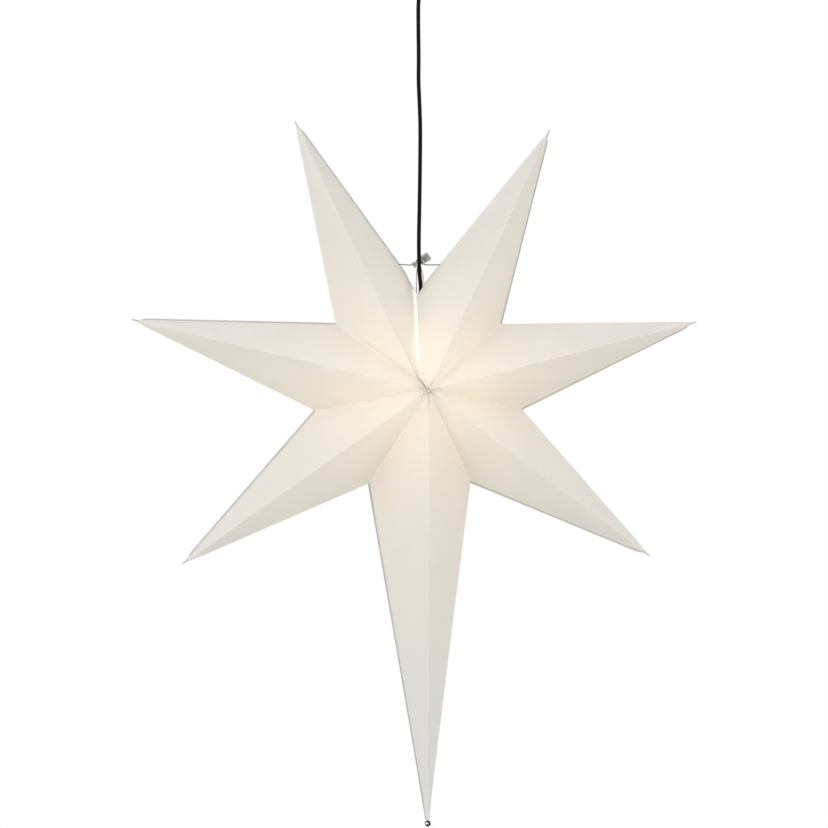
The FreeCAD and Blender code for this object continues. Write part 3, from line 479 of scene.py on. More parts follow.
def paperMaterial():
    # Matt paper that lets some light through, with fibres and clouding; glued strips, tight folds and tips drawn
    # darker as painted shade, and seams drawn glowing as painted light.
    look = paperLook
    made, nodes, links, shader = newMaterial("starPaper")
    fibres = pattern(nodes, links, "ShaderNodeTexNoise", look["fibres"], (1, 1, 2.4))
    fibres.inputs["Detail"].default_value = 8
    clouds = pattern(nodes, links, "ShaderNodeTexNoise", look["clouds"])
    clouds.inputs["Detail"].default_value = 3
    both = nodes.new("ShaderNodeMix")
    both.inputs["Factor"].default_value = 0.5
    links.new(fibres.outputs["Fac"], both.inputs["A"])
    links.new(clouds.outputs["Fac"], both.inputs["B"])
    shades = [tuple(c * shade for c in look["colour"]) for shade in look["clouding"]]
    sheet = tinted(nodes, links, both.outputs["Result"], *shades)
    layersAndPaintedShade = attributeValue(nodes, "layersAndPaintedShade")
    # Painted shade: glued strips and tips drawn darker.
    sheet = darkened(nodes, links, sheet, layersAndPaintedShade, look["layeredPaintedShade"])
    # Painted shade at tight folds, edge strips and tips.
    sheet = darkened(nodes, links, sheet, attributeValue(nodes, "pinch"), look["creasePaintedShade"])
    links.new(sheet, shader.inputs["Base Color"])
    links.new(spread(nodes, links, fibres.outputs["Fac"], *look["roughness"]), shader.inputs["Roughness"])
    links.new(bumped(nodes, links, fibres.outputs["Fac"], look["bump"] * mm), shader.inputs["Normal"])
    shader.inputs["Specular IOR Level"].default_value = 0.2
    # Painted glow along the seams, standing in for the lamp's light from inside.
    shader.inputs["Emission Color"].default_value = (*look["paintedGlowColour"], 1)
    glow = spread(nodes, links, attributeValue(nodes, "seam"), 0, look["paintedGlowStrength"])
    links.new(glow, shader.inputs["Emission Strength"])
    through = nodes.new("ShaderNodeBsdfTranslucent")
    through.inputs["Color"].default_value = (*look["through"], 1)
    mix = nodes.new("ShaderNodeMixShader")
    links.new(spread(nodes, links, layersAndPaintedShade, look["share"], look["layeredShare"]), mix.inputs[0])
    links.new(shader.outputs[0], mix.inputs[1])
    links.new(through.outputs[0], mix.inputs[2])
    links.new(mix.outputs[0], nodes["Material Output"].inputs["Surface"])
    return made


yarnLook = {"hairs": 2600, "roughness": (0.62, 0.8), "bump": 0.12, "sheenRoughness": 0.4}


def yarnMaterial(name, dark, pale, sheen, shine, faded=None, between=None):
    # Yarn: fine hairs vary the colour and height, and the mesh holds the strands. It turns to the faded colour
    # between two heights, because cut ends are frayed and paler.
    made, nodes, links, shader = newMaterial(name)
    hairs = pattern(nodes, links, "ShaderNodeTexNoise", yarnLook["hairs"], (1, 1, 0.35))
    hairs.inputs["Detail"].default_value = 6
    colour = tinted(nodes, links, hairs.outputs["Fac"], dark, pale)
    if faded:
        mix = nodes.new("ShaderNodeMix")
        mix.data_type = "RGBA"
        mix.inputs["B"].default_value = (*faded, 1)
        links.new(fading(nodes, links, between), mix.inputs["Factor"])
        links.new(colour, mix.inputs["A"])
        colour = mix.outputs["Result"]
    links.new(colour, shader.inputs["Base Color"])
    links.new(spread(nodes, links, hairs.outputs["Fac"], *yarnLook["roughness"]), shader.inputs["Roughness"])
    links.new(bumped(nodes, links, hairs.outputs["Fac"], yarnLook["bump"] * mm), shader.inputs["Normal"])
    shader.inputs["Specular IOR Level"].default_value = shine
    shader.inputs["Sheen Weight"].default_value = sheen
    shader.inputs["Sheen Roughness"].default_value = yarnLook["sheenRoughness"]
    return made


def clearMaterial(name, colour, roughness, weight, bump):
    # Clear plastic or glass, with faint flow marks.
    made, nodes, links, shader = newMaterial(name)
    flow = pattern(nodes, links, "ShaderNodeTexNoise", 320)
    links.new(bumped(nodes, links, flow.outputs["Fac"], bump * mm), shader.inputs["Normal"])
    rough = spread(nodes, links, flow.outputs["Fac"], roughness * 0.8, roughness * 1.2)
    links.new(rough, shader.inputs["Roughness"])
    shader.inputs["Base Color"].default_value = (*colour, 1)
    shader.inputs["IOR"].default_value = 1.49
    shader.inputs["Transmission Weight"].default_value = weight
    return made


lampLight = {
    "colour": (1.0, 0.88, 0.7),
    "glass": 25.0,
    "filaments": 30.0,
    "neckShare": 0.2,  # how bright the neck is beside the ball
    "fade": (-0.592, -0.632),  # heights between which it fades
}


def litMaterial(name, strength, base):
    # A part of the bulb that shines.
    made, nodes, links, shader = newMaterial(name)
    grain = pattern(nodes, links, "ShaderNodeTexNoise", 180)
    faint = tuple(c * 0.94 for c in base)
    links.new(tinted(nodes, links, grain.outputs["Fac"], faint, base), shader.inputs["Base Color"])
    links.new(spread(nodes, links, grain.outputs["Fac"], 0.35, 0.5), shader.inputs["Roughness"])
    shader.inputs["Emission Color"].default_value = (*lampLight["colour"], 1)
    glow = fading(nodes, links, lampLight["fade"], strength * lampLight["neckShare"], strength)
    links.new(glow, shader.inputs["Emission Strength"])
    return made


finish = {name: grainedMaterial(name, look) for name, look in grained.items()}
finish["paper"] = paperMaterial()
finish["textile"] = yarnMaterial("blackTextile", (0.0025, 0.002, 0.002), (0.009, 0.007, 0.006), 0.02, 0.12)
finish["string"] = yarnMaterial("greyString", (0.17, 0.17, 0.155), (0.34, 0.33, 0.29), 0.05, 0.3,
                                faded=(0.66, 0.58, 0.52), between=(-0.466, -0.473))
finish["clear"] = clearMaterial("clearPlastic", (0.56, 0.54, 0.55), 0.1, 0.8, 0.02)
finish["clearGlass"] = clearMaterial("clearGlass", (0.9, 0.92, 0.92), 0.04, 0.9, 0.005)
finish["opal"] = litMaterial("opalGlass", lampLight["glass"], (0.85, 0.83, 0.8))
finish["filament"] = litMaterial("litFilament", lampLight["filaments"], (0.9, 0.7, 0.3))
print("finishes made:", len(finish))

textileCord = {
    # x, y and height below the ceiling in millimetres: taut, with the slight waves of a cord that was folded
    "route": [
        (0, 0, -72), (-0.6, 0, -80), (-2.2, 0, -96), (-2.0, 0, -130), (-1.4, 0, -172), (-1.9, 0, -201),
        (-0.6, 0, -229), (0.7, 0, -262), (0.8, 0, -290), (0.2, 0, -342), (-0.5, 0, -385), (-1.4, 0, -428),
        (-1.0, 0, -455), (-0.8, 0, -470), (0.3, 0, -483), (1.4, 0, -494), (1.4, 0, -503), (0.2, 0, -512),
        (0, 0, -519), (0, 0, -534),
    ],
    "cupRoute": [(0, 0, -69), (0, 0, -60), (0, 0, -50), (0, 0, -40)],
    "radius": 2.85,
    "strands": 8,  # each way round the braid
    "crossing": 2.7,  # from one crossing to the next, along the cord
    "relief": 0.16,
    "under": 0.55,  # crown of a strand that runs below, as a share
    "columns": 48,
    "step": 0.45,
}


def braidRadius(stations):
    # radius - relief (1 - crown), where the crown is the higher of two sets of strands |sin| that wind opposite
    # ways and take turns on top.
    look = textileCord
    turn = np.linspace(0, look["strands"], look["columns"] + 1)[None, :]
    run = stations[:, None] / (look["crossing"] * mm)
    right, left = turn + run, turn - run
    rightOnTop = (np.floor(right) + np.floor(left)) % 2 == 0
    rightCrown = np.where(rightOnTop, 1.0, look["under"]) * np.abs(np.sin(math.pi * right))
    leftCrown = np.where(rightOnTop, look["under"], 1.0) * np.abs(np.sin(math.pi * left))
    return (look["radius"] - look["relief"] * (1 - np.maximum(rightCrown, leftCrown))) * mm


def braidedMesh(name, route):
    line, stations = smoothLine(route, textileCord["step"])
    grid = tubeGrid(line, braidRadius(stations), (0, 1, 0), textileCord["columns"], 0)
    return gridMesh(name, grid, sharp=80), line, stations


def makeTextileCord():
    look = textileCord
    mesh, line, stations = braidedMesh("textileCord", look["route"])
    cord = piece("textileCord", mesh, finish["textile"], None, ("cord_top", "textile_cord"))
    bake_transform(cord)
    mesh = braidedMesh("cordHead", look["cupRoute"])[0]
    piece("cordHead", mesh, finish["textile"], "ceiling_fitting", ("cord_head",))


makeTextileCord()

closingStrings = {
    # x, y and height above the star's middle in millimetres, from the point's edge through the lock
    "left_string": [
        (-33, 0, 177.8), (-21, 0.3, 177), (-11.5, 3.2, 176.6), (-4.5, 4.5, 179), (0.2, 4.5, 182.9),
        (0.2, 19.6, 182.9), (-2.2, 19.4, 167), (-3.2, 14.6, 151), (-3.4, 11.6, 137.5),
    ],
    "right_string": [
        (36, 0, 177.4), (22, 0.2, 177.2), (9.5, 3.4, 177), (4.6, 4.4, 178.2), (1.3, 4.5, 181.1),
        (1.3, 17.4, 181.1), (4.6, 17.6, 171), (7.6, 16.4, 158), (5.3, 14.2, 149.3),
    ],
    "radius": 0.9,
    "plies": 3,
    "relief": 0.15,
    "lay": 4.2,  # length of a ply's turn
    "columns": 24,
    "step": 0.28,
    "knots": [(-35.3, 177.8), (38.3, 177.4)],
    "knotSize": 0.62,
    "knotDepth": 1.1,
    "knotYarn": 0.72,  # the knot's yarn beside the string, because it is drawn tight
}


def plyRadius(stations, columns):
    # radius (1 - relief (1 - |cos(plies / 2 (a - 2 pi s / lay))|)): round strands that wind along the string
    look = closingStrings
    angle = np.linspace(0, 2 * math.pi, columns + 1)[None, :]
    wind = angle - 2 * math.pi * stations[:, None] / (look["lay"] * mm)
    return look["radius"] * mm * (1 - look["relief"] * (1 - np.abs(np.cos(look["plies"] / 2 * wind))))


def makeStrings():
    look = closingStrings
    for name in ("left_string", "right_string"):
        route = [(x, y, height + starMiddle[2]) for x, y, height in look[name]]
        line, stations = smoothLine(route, look["step"])
        grid = tubeGrid(line, plyRadius(stations, look["columns"]), (0.3, 0.1, 1), look["columns"])
        side = name.split("_")[0]
        mesh = gridMesh(side + "String", grid, merge=1e-7, sharp=80)
        string = piece(side + "String", mesh, finish["string"], "star", (name,))
    # A knot round the string: y = sin t + 2 sin 2t, z = cos t - 2 cos 2t, x = -depth sin 3t.
    turn = np.linspace(0, 2 * math.pi, 121)[:, None]
    loop = np.concatenate([-np.sin(3 * turn) * look["knotDepth"], np.sin(turn) + 2 * np.sin(2 * turn),
                           np.cos(turn) - 2 * np.cos(2 * turn)], 1) * look["knotSize"]
    for side, (x, height) in zip(("left", "right"), look["knots"]):
        line = (loop + np.array([x, 0, height + starMiddle[2]])) * mm
        stations = turn[:, 0] / (2 * math.pi) * 6 * look["lay"] * mm
        radius = look["knotYarn"] * plyRadius(stations, look["columns"])
        grid = tubeGrid(line, radius, (1, 0.2, 0.1), look["columns"])
        mesh = gridMesh(side + "Knot", grid, merge=1e-7, sharp=80)
        piece(side + "Knot", mesh, finish["string"], "star", ("string_knots",))


makeStrings()

foldedPoints = {
    "hubDepth": 123.0,
    "valleyReach": 150.5,
    "paper": 0.45,
    "gap": 0.05,  # from a seam's plane to the sheet
    "flap": 9.0,  # glue flaps, turned in along the seams
    "fin": 1.5,  # glued strip along the clockwise edge
    "finTip": 0.35,  # its share of width, and of thickness, at the tip
    "finTaper": 40.0,
    "layerTaper": 30.0,
    "solidTip": 14.0,
    "nib": 1.6,  # width of the pinched tip
    "tailEnd": 6.4,  # width of the blunt end of the tail
    "beak": (3.0, 30.0),  # from the pinched nib to the point's full width, back from the tip
    "tipDepth": 0.3,  # share of its depth that the tip keeps
    "crease": 0.8,
    "bow": 1.2,
    "ripple": 0.4,
    "levels": 64,
    "across": 12,
    "stringHole": {"from": 18, "to": 34, "radius": 1.3, "height": 177.4},
    # name: direction, the seams before and after it, clockwise from straight up, its reach, and the blunt tip as
    # a share of the foot
    "points": {
        "upper_right_point": (26.9, 2.6, 51.4, 413.5, 0.008),
        "right_point": (76.4, 51.4, 100.5, 412, 0.008),
        "lower_right_point": (125.5, 100.5, 150.5, 409.5, 0.008),
        "tail_point": (178.8, 150.5, 208.2, 611, 0.012),
        "lower_left_point": (233.8, 208.2, 258.8, 413.5, 0.008),
        "left_point": (283.7, 258.8, 308.2, 415.5, 0.008),
        "upper_left_point": (335.1, 308.2, 358.5, 416.5, 0.008),
    },
}

openSeam = {
    # The seam at the top is only tied. One point's free edge lies over its neighbour's, and both sag to the
    # left, in millimetres at places from the notch for the cord to the hub.
    "over": "upper_right_point",
    "under": "upper_left_point",
    "places": (0, 0.04, 0.08, 0.12, 0.2, 0.35, 0.62, 0.85, 0.94, 1),
    "overSag": (0, 1.0, 6.6, 10.0, 10.9, 11.2, 11.0, 9.9, 5.7, 0),
    "underSag": (0, -0.5, -1.5, -2.2, -1.4, 1.0, 5.4, 7.8, 5.4, 0),
    "depth": 0.3,  # how far up the panel the sag reaches, as a share
    "corner": (3.4, 9.0),  # the under point's corner, to the left and down
    "ridgeSag": 6.2,
    "edgeBow": 5.8,
}


def foldedWall(corners, creases, across):
    # Rows of points round a folded wall, from each row's fold corners. Between folds a panel is straight, and at
    # a fold it follows corner + reach ((1 - t)^2 toBefore + t^2 toAfter). Also each column's panel and share.
    count = corners.shape[1]
    toBefore = np.roll(corners, 1, axis=1) - corners
    toAfter = np.roll(corners, -1, axis=1) - corners
    narrow = np.linalg.norm(toBefore, axis=-1, keepdims=True)
    wide = np.linalg.norm(toAfter, axis=-1, keepdims=True)
    reach = np.minimum(creases[None, :, None], 0.3 * np.minimum(narrow, wide))
    toBefore = toBefore / np.maximum(narrow, 1e-9)
    toAfter = toAfter / np.maximum(wide, 1e-9)
    shares = (0.5 - 0.5 * np.cos(math.pi * np.linspace(0, 1, across)))[1:-1]
    columns, panels, places = [], [], []
    for k in range(count):
        follower = (k + 1) % count
        for t in np.linspace(0, 1, 5):
            columns.append(corners[:, k] + reach[:, k] * ((1 - t) ** 2 * toBefore[:, k] + t**2 * toAfter[:, k]))
        start = corners[:, k] + reach[:, k] * toAfter[:, k]
        end = corners[:, follower] + reach[:, follower] * toBefore[:, follower]
        columns += [start + (end - start) * t for t in shares]
        panels += [k] * (5 + len(shares))
        places += [0.0] * 5 + list(shares)
    return np.stack(columns + columns[:1], 1), np.array(panels + [0]), np.array(places + [0.0])


def pointGrid(name, direction, seamBefore, seamAfter, reach, blunt):
    # A point along +Z about the star's middle: the outside from tip to seams, the flaps turned in along the
    # seams, and the inside back to the tip. Each skin is hub, edge or ridge share + tip (1 - share).
    look = foldedPoints
    turn = math.radians(direction)
    toLeft = np.array([-math.cos(turn), 0, -math.sin(turn)])
    toFloor = np.array([math.sin(turn), 0, -math.cos(turn)])
    under = name == openSeam["under"]
    before, after = math.radians(direction - seamBefore), math.radians(seamAfter - direction)
    wide, deep, paper = look["valleyReach"], look["hubDepth"], look["paper"]
    left = np.array([-wide * math.sin(before), 0, wide * math.cos(before)])
    right = np.array([wide * math.sin(after), 0, wide * math.cos(after)])
    front, back = np.array([0, -deep, 0]), np.array([0, deep, 0])
    tip = np.array([0, 0, reach / (1 - blunt)])
    if under:
        right = right + openSeam["corner"][0] * toLeft + openSeam["corner"][1] * toFloor

    def skin(shares, inset):
        shares = shares[:, None]
        corners = (front, left, back, right)
        folds = [corner * shares + tip * (1 - shares) - np.array([0, 0, inset]) for corner in corners]
        if under:
            ridge = openSeam["ridgeSag"] * eased(shares / 0.6) * eased((1 - shares) / 0.05) * toLeft
            edge = openSeam["edgeBow"] * np.maximum(shares, 0) ** 1.2 * eased((1 - shares) / 0.14) * toLeft
            folds = [folds[0] + ridge, folds[1], folds[2] + ridge, folds[3] - edge]
        return folds

    # Outside, with the glued strip beside the clockwise edge and a tip pinched flat.
    levels = 0.5 - 0.5 * np.cos(math.pi * np.linspace(0, 1, look["levels"]))
    levels = levels * (1 - blunt) + blunt
    frontFold, leftFold, backFold, rightFold = skin(levels, 0)
    fromTip = reach - frontFold[:, 2:]
    isTail = name == "tail_point"
    opening = eased((fromTip - look["beak"][0]) / (look["beak"][1] - look["beak"][0]))
    full = np.abs(leftFold[:, :1]) + rightFold[:, :1]
    pinch = np.clip(np.maximum(opening, look["nib"] / full), 0, 1)
    if isTail:
        pinch = np.hypot(1, look["tailEnd"] / full)
    for fold in (frontFold, leftFold, backFold, rightFold):
        fold[:, :1] *= pinch
    flat = pinch * (look["tipDepth"] + (1 - look["tipDepth"]) * eased(fromTip / look["beak"][1]))
    frontFold[:, 1:2] *= flat
    backFold[:, 1:2] *= flat
    thin = np.minimum(paper / (deep * levels[:, None] * flat), 0.45)
    rightFront = rightFold + (frontFold - rightFold) * thin
    rightBack = rightFold + (backFold - rightFold) * thin
    width = look["fin"] * (look["finTip"] + (1 - look["finTip"]) * eased(fromTip / look["finTaper"]))
    strip = rightFold + width * np.array([math.cos(after) * 0.3 + 0.7, 0, 0])
    layer = np.array([0, paper, 0]) * np.minimum(look["finTip"] + fromTip / look["layerTaper"], 1)
    outside = np.stack([frontFold, leftFold, backFold, rightBack, strip + layer, strip - layer, rightFront], 1)

    # The seam planes hold the sheets' feet and the flaps.
    inwardLeft = np.array([math.cos(before), 0, math.sin(before)])
    inwardRight = np.array([-math.cos(after), 0, math.sin(after)])
    inwardHub = np.array([0, 0, 1 / math.sin((before + after) / 2)])
    inward = np.array([inwardHub, inwardLeft, inwardHub] + [inwardRight] * 4)

    def seamRow(hubFront, valleyLeft, hubBack, *valleyRight, away):
        return np.array([hubFront, valleyLeft, hubBack, *valleyRight]) + away * inward

    run = math.hypot(wide, deep)
    narrowed = 1 - look["flap"] * run / wide / deep
    stripFoot = right + np.array([look["fin"], 0, 0])
    layer = np.array([0, paper, 0])
    edge = paper / deep
    feet = (front, left, back, right + (back - right) * edge, stripFoot + layer, stripFoot - layer,
            right + (front - right) * edge)
    flap = (front * narrowed, left * narrowed, back * narrowed) + (right * narrowed,) * 4
    halfFoot = (abs(left[0]) + right[0]) / 2 / (1 - left[2] / tip[2])
    inset = paper * tip[2] * math.sqrt(1 / halfFoot**2 + 1 / deep**2 + 1 / tip[2] ** 2)
    inner = look["gap"] + paper
    shares = levels[::-1] * (1 - look["solidTip"] / reach) + look["solidTip"] / reach
    insideFolds = skin(shares - 1.6 * inset / reach, inset)
    inside = np.stack(insideFolds + insideFolds[3:] * 3, 1)
    rows = [outside[:-1], seamRow(*feet, away=look["gap"])[None], seamRow(*flap, away=look["gap"])[None],
            seamRow(*flap, away=inner)[None], inside]
    creases = np.array([1, 1, 1, 0.3, 0.06, 0.06, 0.3]) * look["crease"]
    grid, panel, share = foldedWall(np.concatenate(rows), creases, look["across"])

    # Each panel bows out and ripples a little, square to itself, and both skins move together:
    # (bow + ripple (sin(9 l + d + k) + 0.6 sin(23 l + 2 d + 5 s))) sin(pi s)^1.2 sin(pi l)^0.8, with l the
    # level, s the share, d the direction and k the panel.
    level = np.concatenate([levels[:-1], [1, 1, 1], shares])
    fade = np.sin(math.pi * np.clip(level, 0, 1)) ** 0.8
    for k, ends in {0: (front, left), 1: (left, back), 2: (back, right), 6: (right, front)}.items():
        normal = np.cross(ends[0] - tip, ends[1] - tip)
        normal *= np.sign(normal @ (ends[0] + ends[1])) / np.linalg.norm(normal)
        columns = np.where(panel == k)[0]
        s, rise = share[None, columns], level[:, None]
        wave = np.sin(9 * rise + direction + k) + 0.6 * np.sin(23 * rise + 2 * direction + 5 * s)
        amount = (look["bow"] + look["ripple"] * wave) * np.sin(math.pi * s) ** 1.2 * fade[:, None]
        grid[:, columns] += amount[..., None] * normal

    # The free edges of the tied seam: sag(place along the seam), which fades up the panel.
    fromNotch = {openSeam["over"]: {0: 1 - share, 1: share}, openSeam["under"]: {2: 1 - share, 6: share}}
    for k, place in fromNotch.get(name, {}).items():
        sag = np.interp(place, openSeam["places"], openSeam["underSag" if under else "overSag"])
        fade = eased((level - 1 + openSeam["depth"]) / openSeam["depth"])
        grid += ((panel == k) * sag)[None, :, None] * fade[:, None, None] * toLeft

    top = np.broadcast_to([0, 0, reach + 0.4], (1,) + grid.shape[1:])
    bottom = np.broadcast_to(inside[-1].mean(0), (1,) + grid.shape[1:])
    grid = np.concatenate([top, grid, bottom])
    level = np.concatenate([level[:1], level, level[-1:]])[:, None]
    strip = (panel >= 3) & (panel <= 5)
    # Painted glow: bright lines along each seam at the foot, standing in for the lamp's light from inside.
    seam = np.zeros(grid.shape[:2])
    foot = look["levels"]
    seam[foot - 2 : foot + 3] = np.array([0.0, 0.35, 1.0, 0.6, 0.3])[:, None]
    if under:
        # Painted glow: the sheet beside the tied seam glows, standing in for the lamp's light from inside.
        shine = np.exp(-(((1 - level) / 0.02) ** 2)) * eased((0.95 - share) / 0.6) * 1.7
        seam = np.maximum(seam, shine * ((panel == 6) | (panel == 2)))
    seam[:, strip] *= 0.3
    layersAndPaintedShade = np.zeros(grid.shape[:2])
    layersAndPaintedShade[:foot, strip] = 1
    # Less light comes through towards the tips and through the outer half of the tail, and there the colour is
    # drawn darker as painted shade.
    layersAndPaintedShade = np.maximum(layersAndPaintedShade, eased((0.6 - level) / 0.5 if isTail else (0.075 - level) / 0.06))
    # Painted shade: dark pinches where the folds meet at the hub, and along the ridge beside the tied seam.
    ridge = (share == 0) & ((panel == 0) | (panel == 2))
    pinch = eased((level - 0.993) / 0.004) * np.where(np.isin(panel, (0, 2)), (1 - share) ** 60, share**60)
    start, strength = (0.92, 0.8) if under else (0.95, 0.5)
    pinch = np.maximum(pinch, eased((level - start) / 0.03) * ridge * strength) + 0 * seam
    # Painted shade along the glued edge strips.
    pinch[:foot, strip | ((panel == 6) & (share == 0))] = 0.45
    # Painted shade towards the tips.
    if not isTail:
        pinch = np.maximum(pinch, 0.4 * eased((0.045 - level) / 0.02))
    return grid, {"seam": seam, "layersAndPaintedShade": layersAndPaintedShade, "pinch": pinch}


def makePoints():
    hole = foldedPoints["stringHole"]
    for name, (direction, *shape) in foldedPoints["points"].items():
        grid, marks = pointGrid(name, direction, *shape)
        words = name.split("_")
        label = words[0] + "".join(word.title() for word in words[1:])
        mesh = gridMesh(label, placed(grid, starMiddle, direction), merge=4e-6, sharp=30, marks=marks)
        made = piece(label, mesh, finish["paper"], "star", (name,))
        if name in ("upper_left_point", "upper_right_point"):
            # The hole in the edge strip that the closing string comes out of.
            side = -1 if name == "upper_left_point" else 1
            height = starMiddle[2] + hole["height"]
            ends = [(side * hole[end], 0, height) for end in ("from", "to")]
            cutMesh(made, rodMesh(*ends, hole["radius"]))
    print("paper points made:", len(foldedPoints["points"]))


makePoints()

tailBead = {
    "radius": 4.4, "reach": 617.3, "direction": 178.8, "bore": 0.85,
    "pin": 0.8, "pinFoot": 596, "nub": 1.4, "nubHeight": 1.2,
}


def makeBead():
    look = tailBead
    # A ball with a bore: radius cos a and radius sin a from one mouth of the bore to the other.
    mouth = math.asin(look["bore"] / look["radius"])
    angle = np.linspace(-math.pi / 2 + mouth, math.pi / 2 - mouth, 40)
    ball = [(look["radius"] * math.cos(a), look["reach"] + look["radius"] * math.sin(a)) for a in angle]
    grid = turnedGrid(ball, 64)
    mesh = gridMesh("tailBead", placed(grid, starMiddle, look["direction"]), sharp=50)
    piece("tailBead", mesh, finish["chrome"], "star", ("tail_bead",))
    end = look["reach"] + look["radius"]
    last = end + look["nubHeight"]
    pin = [
        (0, look["pinFoot"]), (look["pin"], look["pinFoot"], 0.2), (look["pin"], end), (look["nub"], end, 0.3),
        (look["nub"], last, 0.5), (0, last),
    ]
    grid = turnedGrid(pin, 32, closed=False)
    mesh = gridMesh("beadPin", placed(grid, starMiddle, look["direction"]), sharp=50)
    piece("beadPin", mesh, finish["chrome"], "star", ("bead_pin",))
    print("bead made")


makeBead()

cordLock = {
    "seat": (-6.1, 10.2, -462.1),  # where the button sits when it is pressed home
    "tilt": 59.0,
    "bore": 3.75,
    "neck": 4.6,
    "barrel": 6.2,
    "slot": (5, 18, 3),
    "slotMiddle": 8.0,
    "slotLip": 0.4,
    "cone": (11, 13.2),  # from the neck to the barrel
    "gripRows": (14.5, 17, 20, 22.5),
    "gripDepth": 0.18,
    "travel": 4.0,
    "face": 4.05,
    "floor": 22.5,
    "end": 24.5,
    "plunger": 3.6,
    "plungerEnd": 16.0,
    "button": 4.4,
    "buttonHeight": 3.5,
    "spring": (2.75, 0.3, 3),  # radius, wire's radius and turns
    "springSlack": 0.02,
}


def makeLock():
    look = cordLock
    axis = np.array([math.sin(math.radians(look["tilt"])), 0, math.cos(math.radians(look["tilt"]))])

    def along(distance):
        return np.array(look["seat"]) + axis * distance

    def ribs(radius, height, angle):
        # Ten shallow grips along the barrel: radius - depth (0.5 + 0.5 cos 10 a) on its outside
        low, high = look["gripRows"][0], look["gripRows"][-1]
        grip = eased((height - low) / 1.5) * eased((high - height) / 1.5) * (radius > look["neck"] + 1)
        return radius - look["gripDepth"] * grip * (0.5 + 0.5 * np.cos(10 * angle))

    barrel = look["barrel"]
    profile = [
        (look["bore"], look["face"], 0.2), (look["neck"], look["face"], 0.3),
        (look["neck"], look["cone"][0], 0.6), (barrel, look["cone"][1], 0.6),
        *[(barrel, row) for row in look["gripRows"]],
        (barrel, look["end"], 1.9), (0, look["end"]), (0, look["floor"]), (look["bore"], look["floor"], 0.3),
    ]
    mesh = gridMesh("lockHousing", placed(turnedGrid(profile, 80, ripple=ribs), look["seat"], look["tilt"]))
    housing = piece("lockHousing", mesh, finish["clear"], "star", ("lock_housing",))
    cutMesh(housing, boxMesh(look["slot"], along(look["slotMiddle"]), look["tilt"]))
    profile = [
        (0, -look["buttonHeight"]), (2.6, -3.4, 0.5), (look["button"], -2.2, 0.7), (look["button"], 0, 0.3),
        (look["plunger"], 0),
        (look["plunger"], look["plungerEnd"], 0.3), (0, look["plungerEnd"]),
    ]
    mesh = gridMesh("lockButton", placed(turnedGrid(profile, 64, closed=False), look["seat"], look["tilt"]))
    button = piece("lockButton", mesh, finish["clear"], "lock_button", ("lock_button",))
    width, depth, height = look["slot"]
    slot = (width, depth, height + look["travel"])
    middle = look["slotMiddle"] - look["travel"] / 2 - look["slotLip"]
    cutMesh(button, boxMesh(slot, along(middle), look["tilt"]))
    # Spring: radius (cos a, sin a) with a steady climb between the plunger and the floor.
    radius, wire, turns = look["spring"]
    angle = np.linspace(0, 2 * math.pi * turns, 48 * turns + 1)
    low, high = look["plungerEnd"] + wire + look["springSlack"], look["floor"] - wire - look["springSlack"]
    line = np.stack([radius * np.cos(angle), radius * np.sin(angle), np.linspace(low, high, len(angle))], -1)
    line = placed(line[None], look["seat"], look["tilt"])[0]
    mesh = gridMesh("lockSpring", tubeGrid(line, wire * mm, axis, 16), merge=1e-7)
    spring = piece("lockSpring", mesh, finish["springSteel"], "star", ("lock_spring",))
    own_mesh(spring)
    print("cord lock made")


makeLock()

lampHolder = {
    # Radii and sizes in millimetres, and heights from the star's middle
    "capTop": 123.0, "shoulder": 106.6, "capRadius": 21.0, "capFoot": 90.0, "collar": 6.25, "collarLength": 6,
    "wall": 1.8, "roof": 1.2, "cordHole": 3.15, "gripDrop": 2.5, "gripHole": 1.3,
    "fluteRows": (104, 102, 98, 94, 92), "flutes": 48, "fluteDepth": 0.22,
    "skirtFoot": 58.0, "skirtRadius": 19.4, "rimLength": 7, "rimStep": 0.9, "lining": 2,
    "ringDepth": 0.2, "ringStep": 4, "coreFoot": 86.5, "coreTop": 96.0, "coreScrews": (-11, 11),
    "shell": 13.35, "shellPlay": 2.4, "shellRise": 3, "sheet": 0.45, "pitch": 3.63, "threadDepth": 0.75,
    "contact": [(0, 84.4), (1.6, 84.4, 0.3), (3.2, 85.2, 0.3), (3.2, 86.4, 0.1), (0, 86.4)],
    "coreScrew": ((1.2, 9.5), (2.2, 1.5)), "gripScrew": ((1.2, 3.3), (1.9, 1.2)),
}


def atHolder(grid):
    # Pieces drawn about the cord's axis, with heights from the star's middle.
    return placed(grid, (0, 0, starMiddle[2]))


screwLook = {"crest": 0.12, "step": 0.5, "end": 0.4, "slot": 0.55}


def screwMesh(name, place, axis, shank, head):
    # A machine screw: shank and head are (radius, length), place is the head's seat, and it points along axis.
    look = screwLook
    (thin, long), (wide, high) = shank, head
    profile = [(0, -high), (wide, -high, 0.25), (wide, 0, 0.1), (thin, 0)]
    crests = np.arange(look["end"], long - look["end"], look["step"])
    profile += [(thin - look["crest"] * (i % 2), z) for i, z in enumerate(crests)]
    profile += [(thin, long, 0.2), (0, long)]
    grid = turnedGrid(profile, 32, closed=False)
    grid = grid[:, ::-1] if axis[2] < 0 else grid
    turn = Vector(axis).to_track_quat("Z", "Y").to_matrix()
    return gridMesh(name, (grid @ np.array(turn).T + np.array(place)) * mm, sharp=35)


def makeScrews(name, places, axisOf, shank, head, material, body, slot, node):
    narrow = screwLook["slot"]
    for i, place in enumerate(places):
        mesh = screwMesh(f"{name}{i + 1}", place, axisOf(place), shank, head)
        made = piece(f"{name}{i + 1}", mesh, material, body, (node,))
        axis = np.array(axisOf(place), float)
        # A slot across the head
        upright = abs(axis[2]) > 0.5
        across = (narrow if upright else 0.8 * head[1], 2.4 * head[0], narrow)
        cutMesh(made, boxMesh(across, np.array(place) - axis * head[1]))


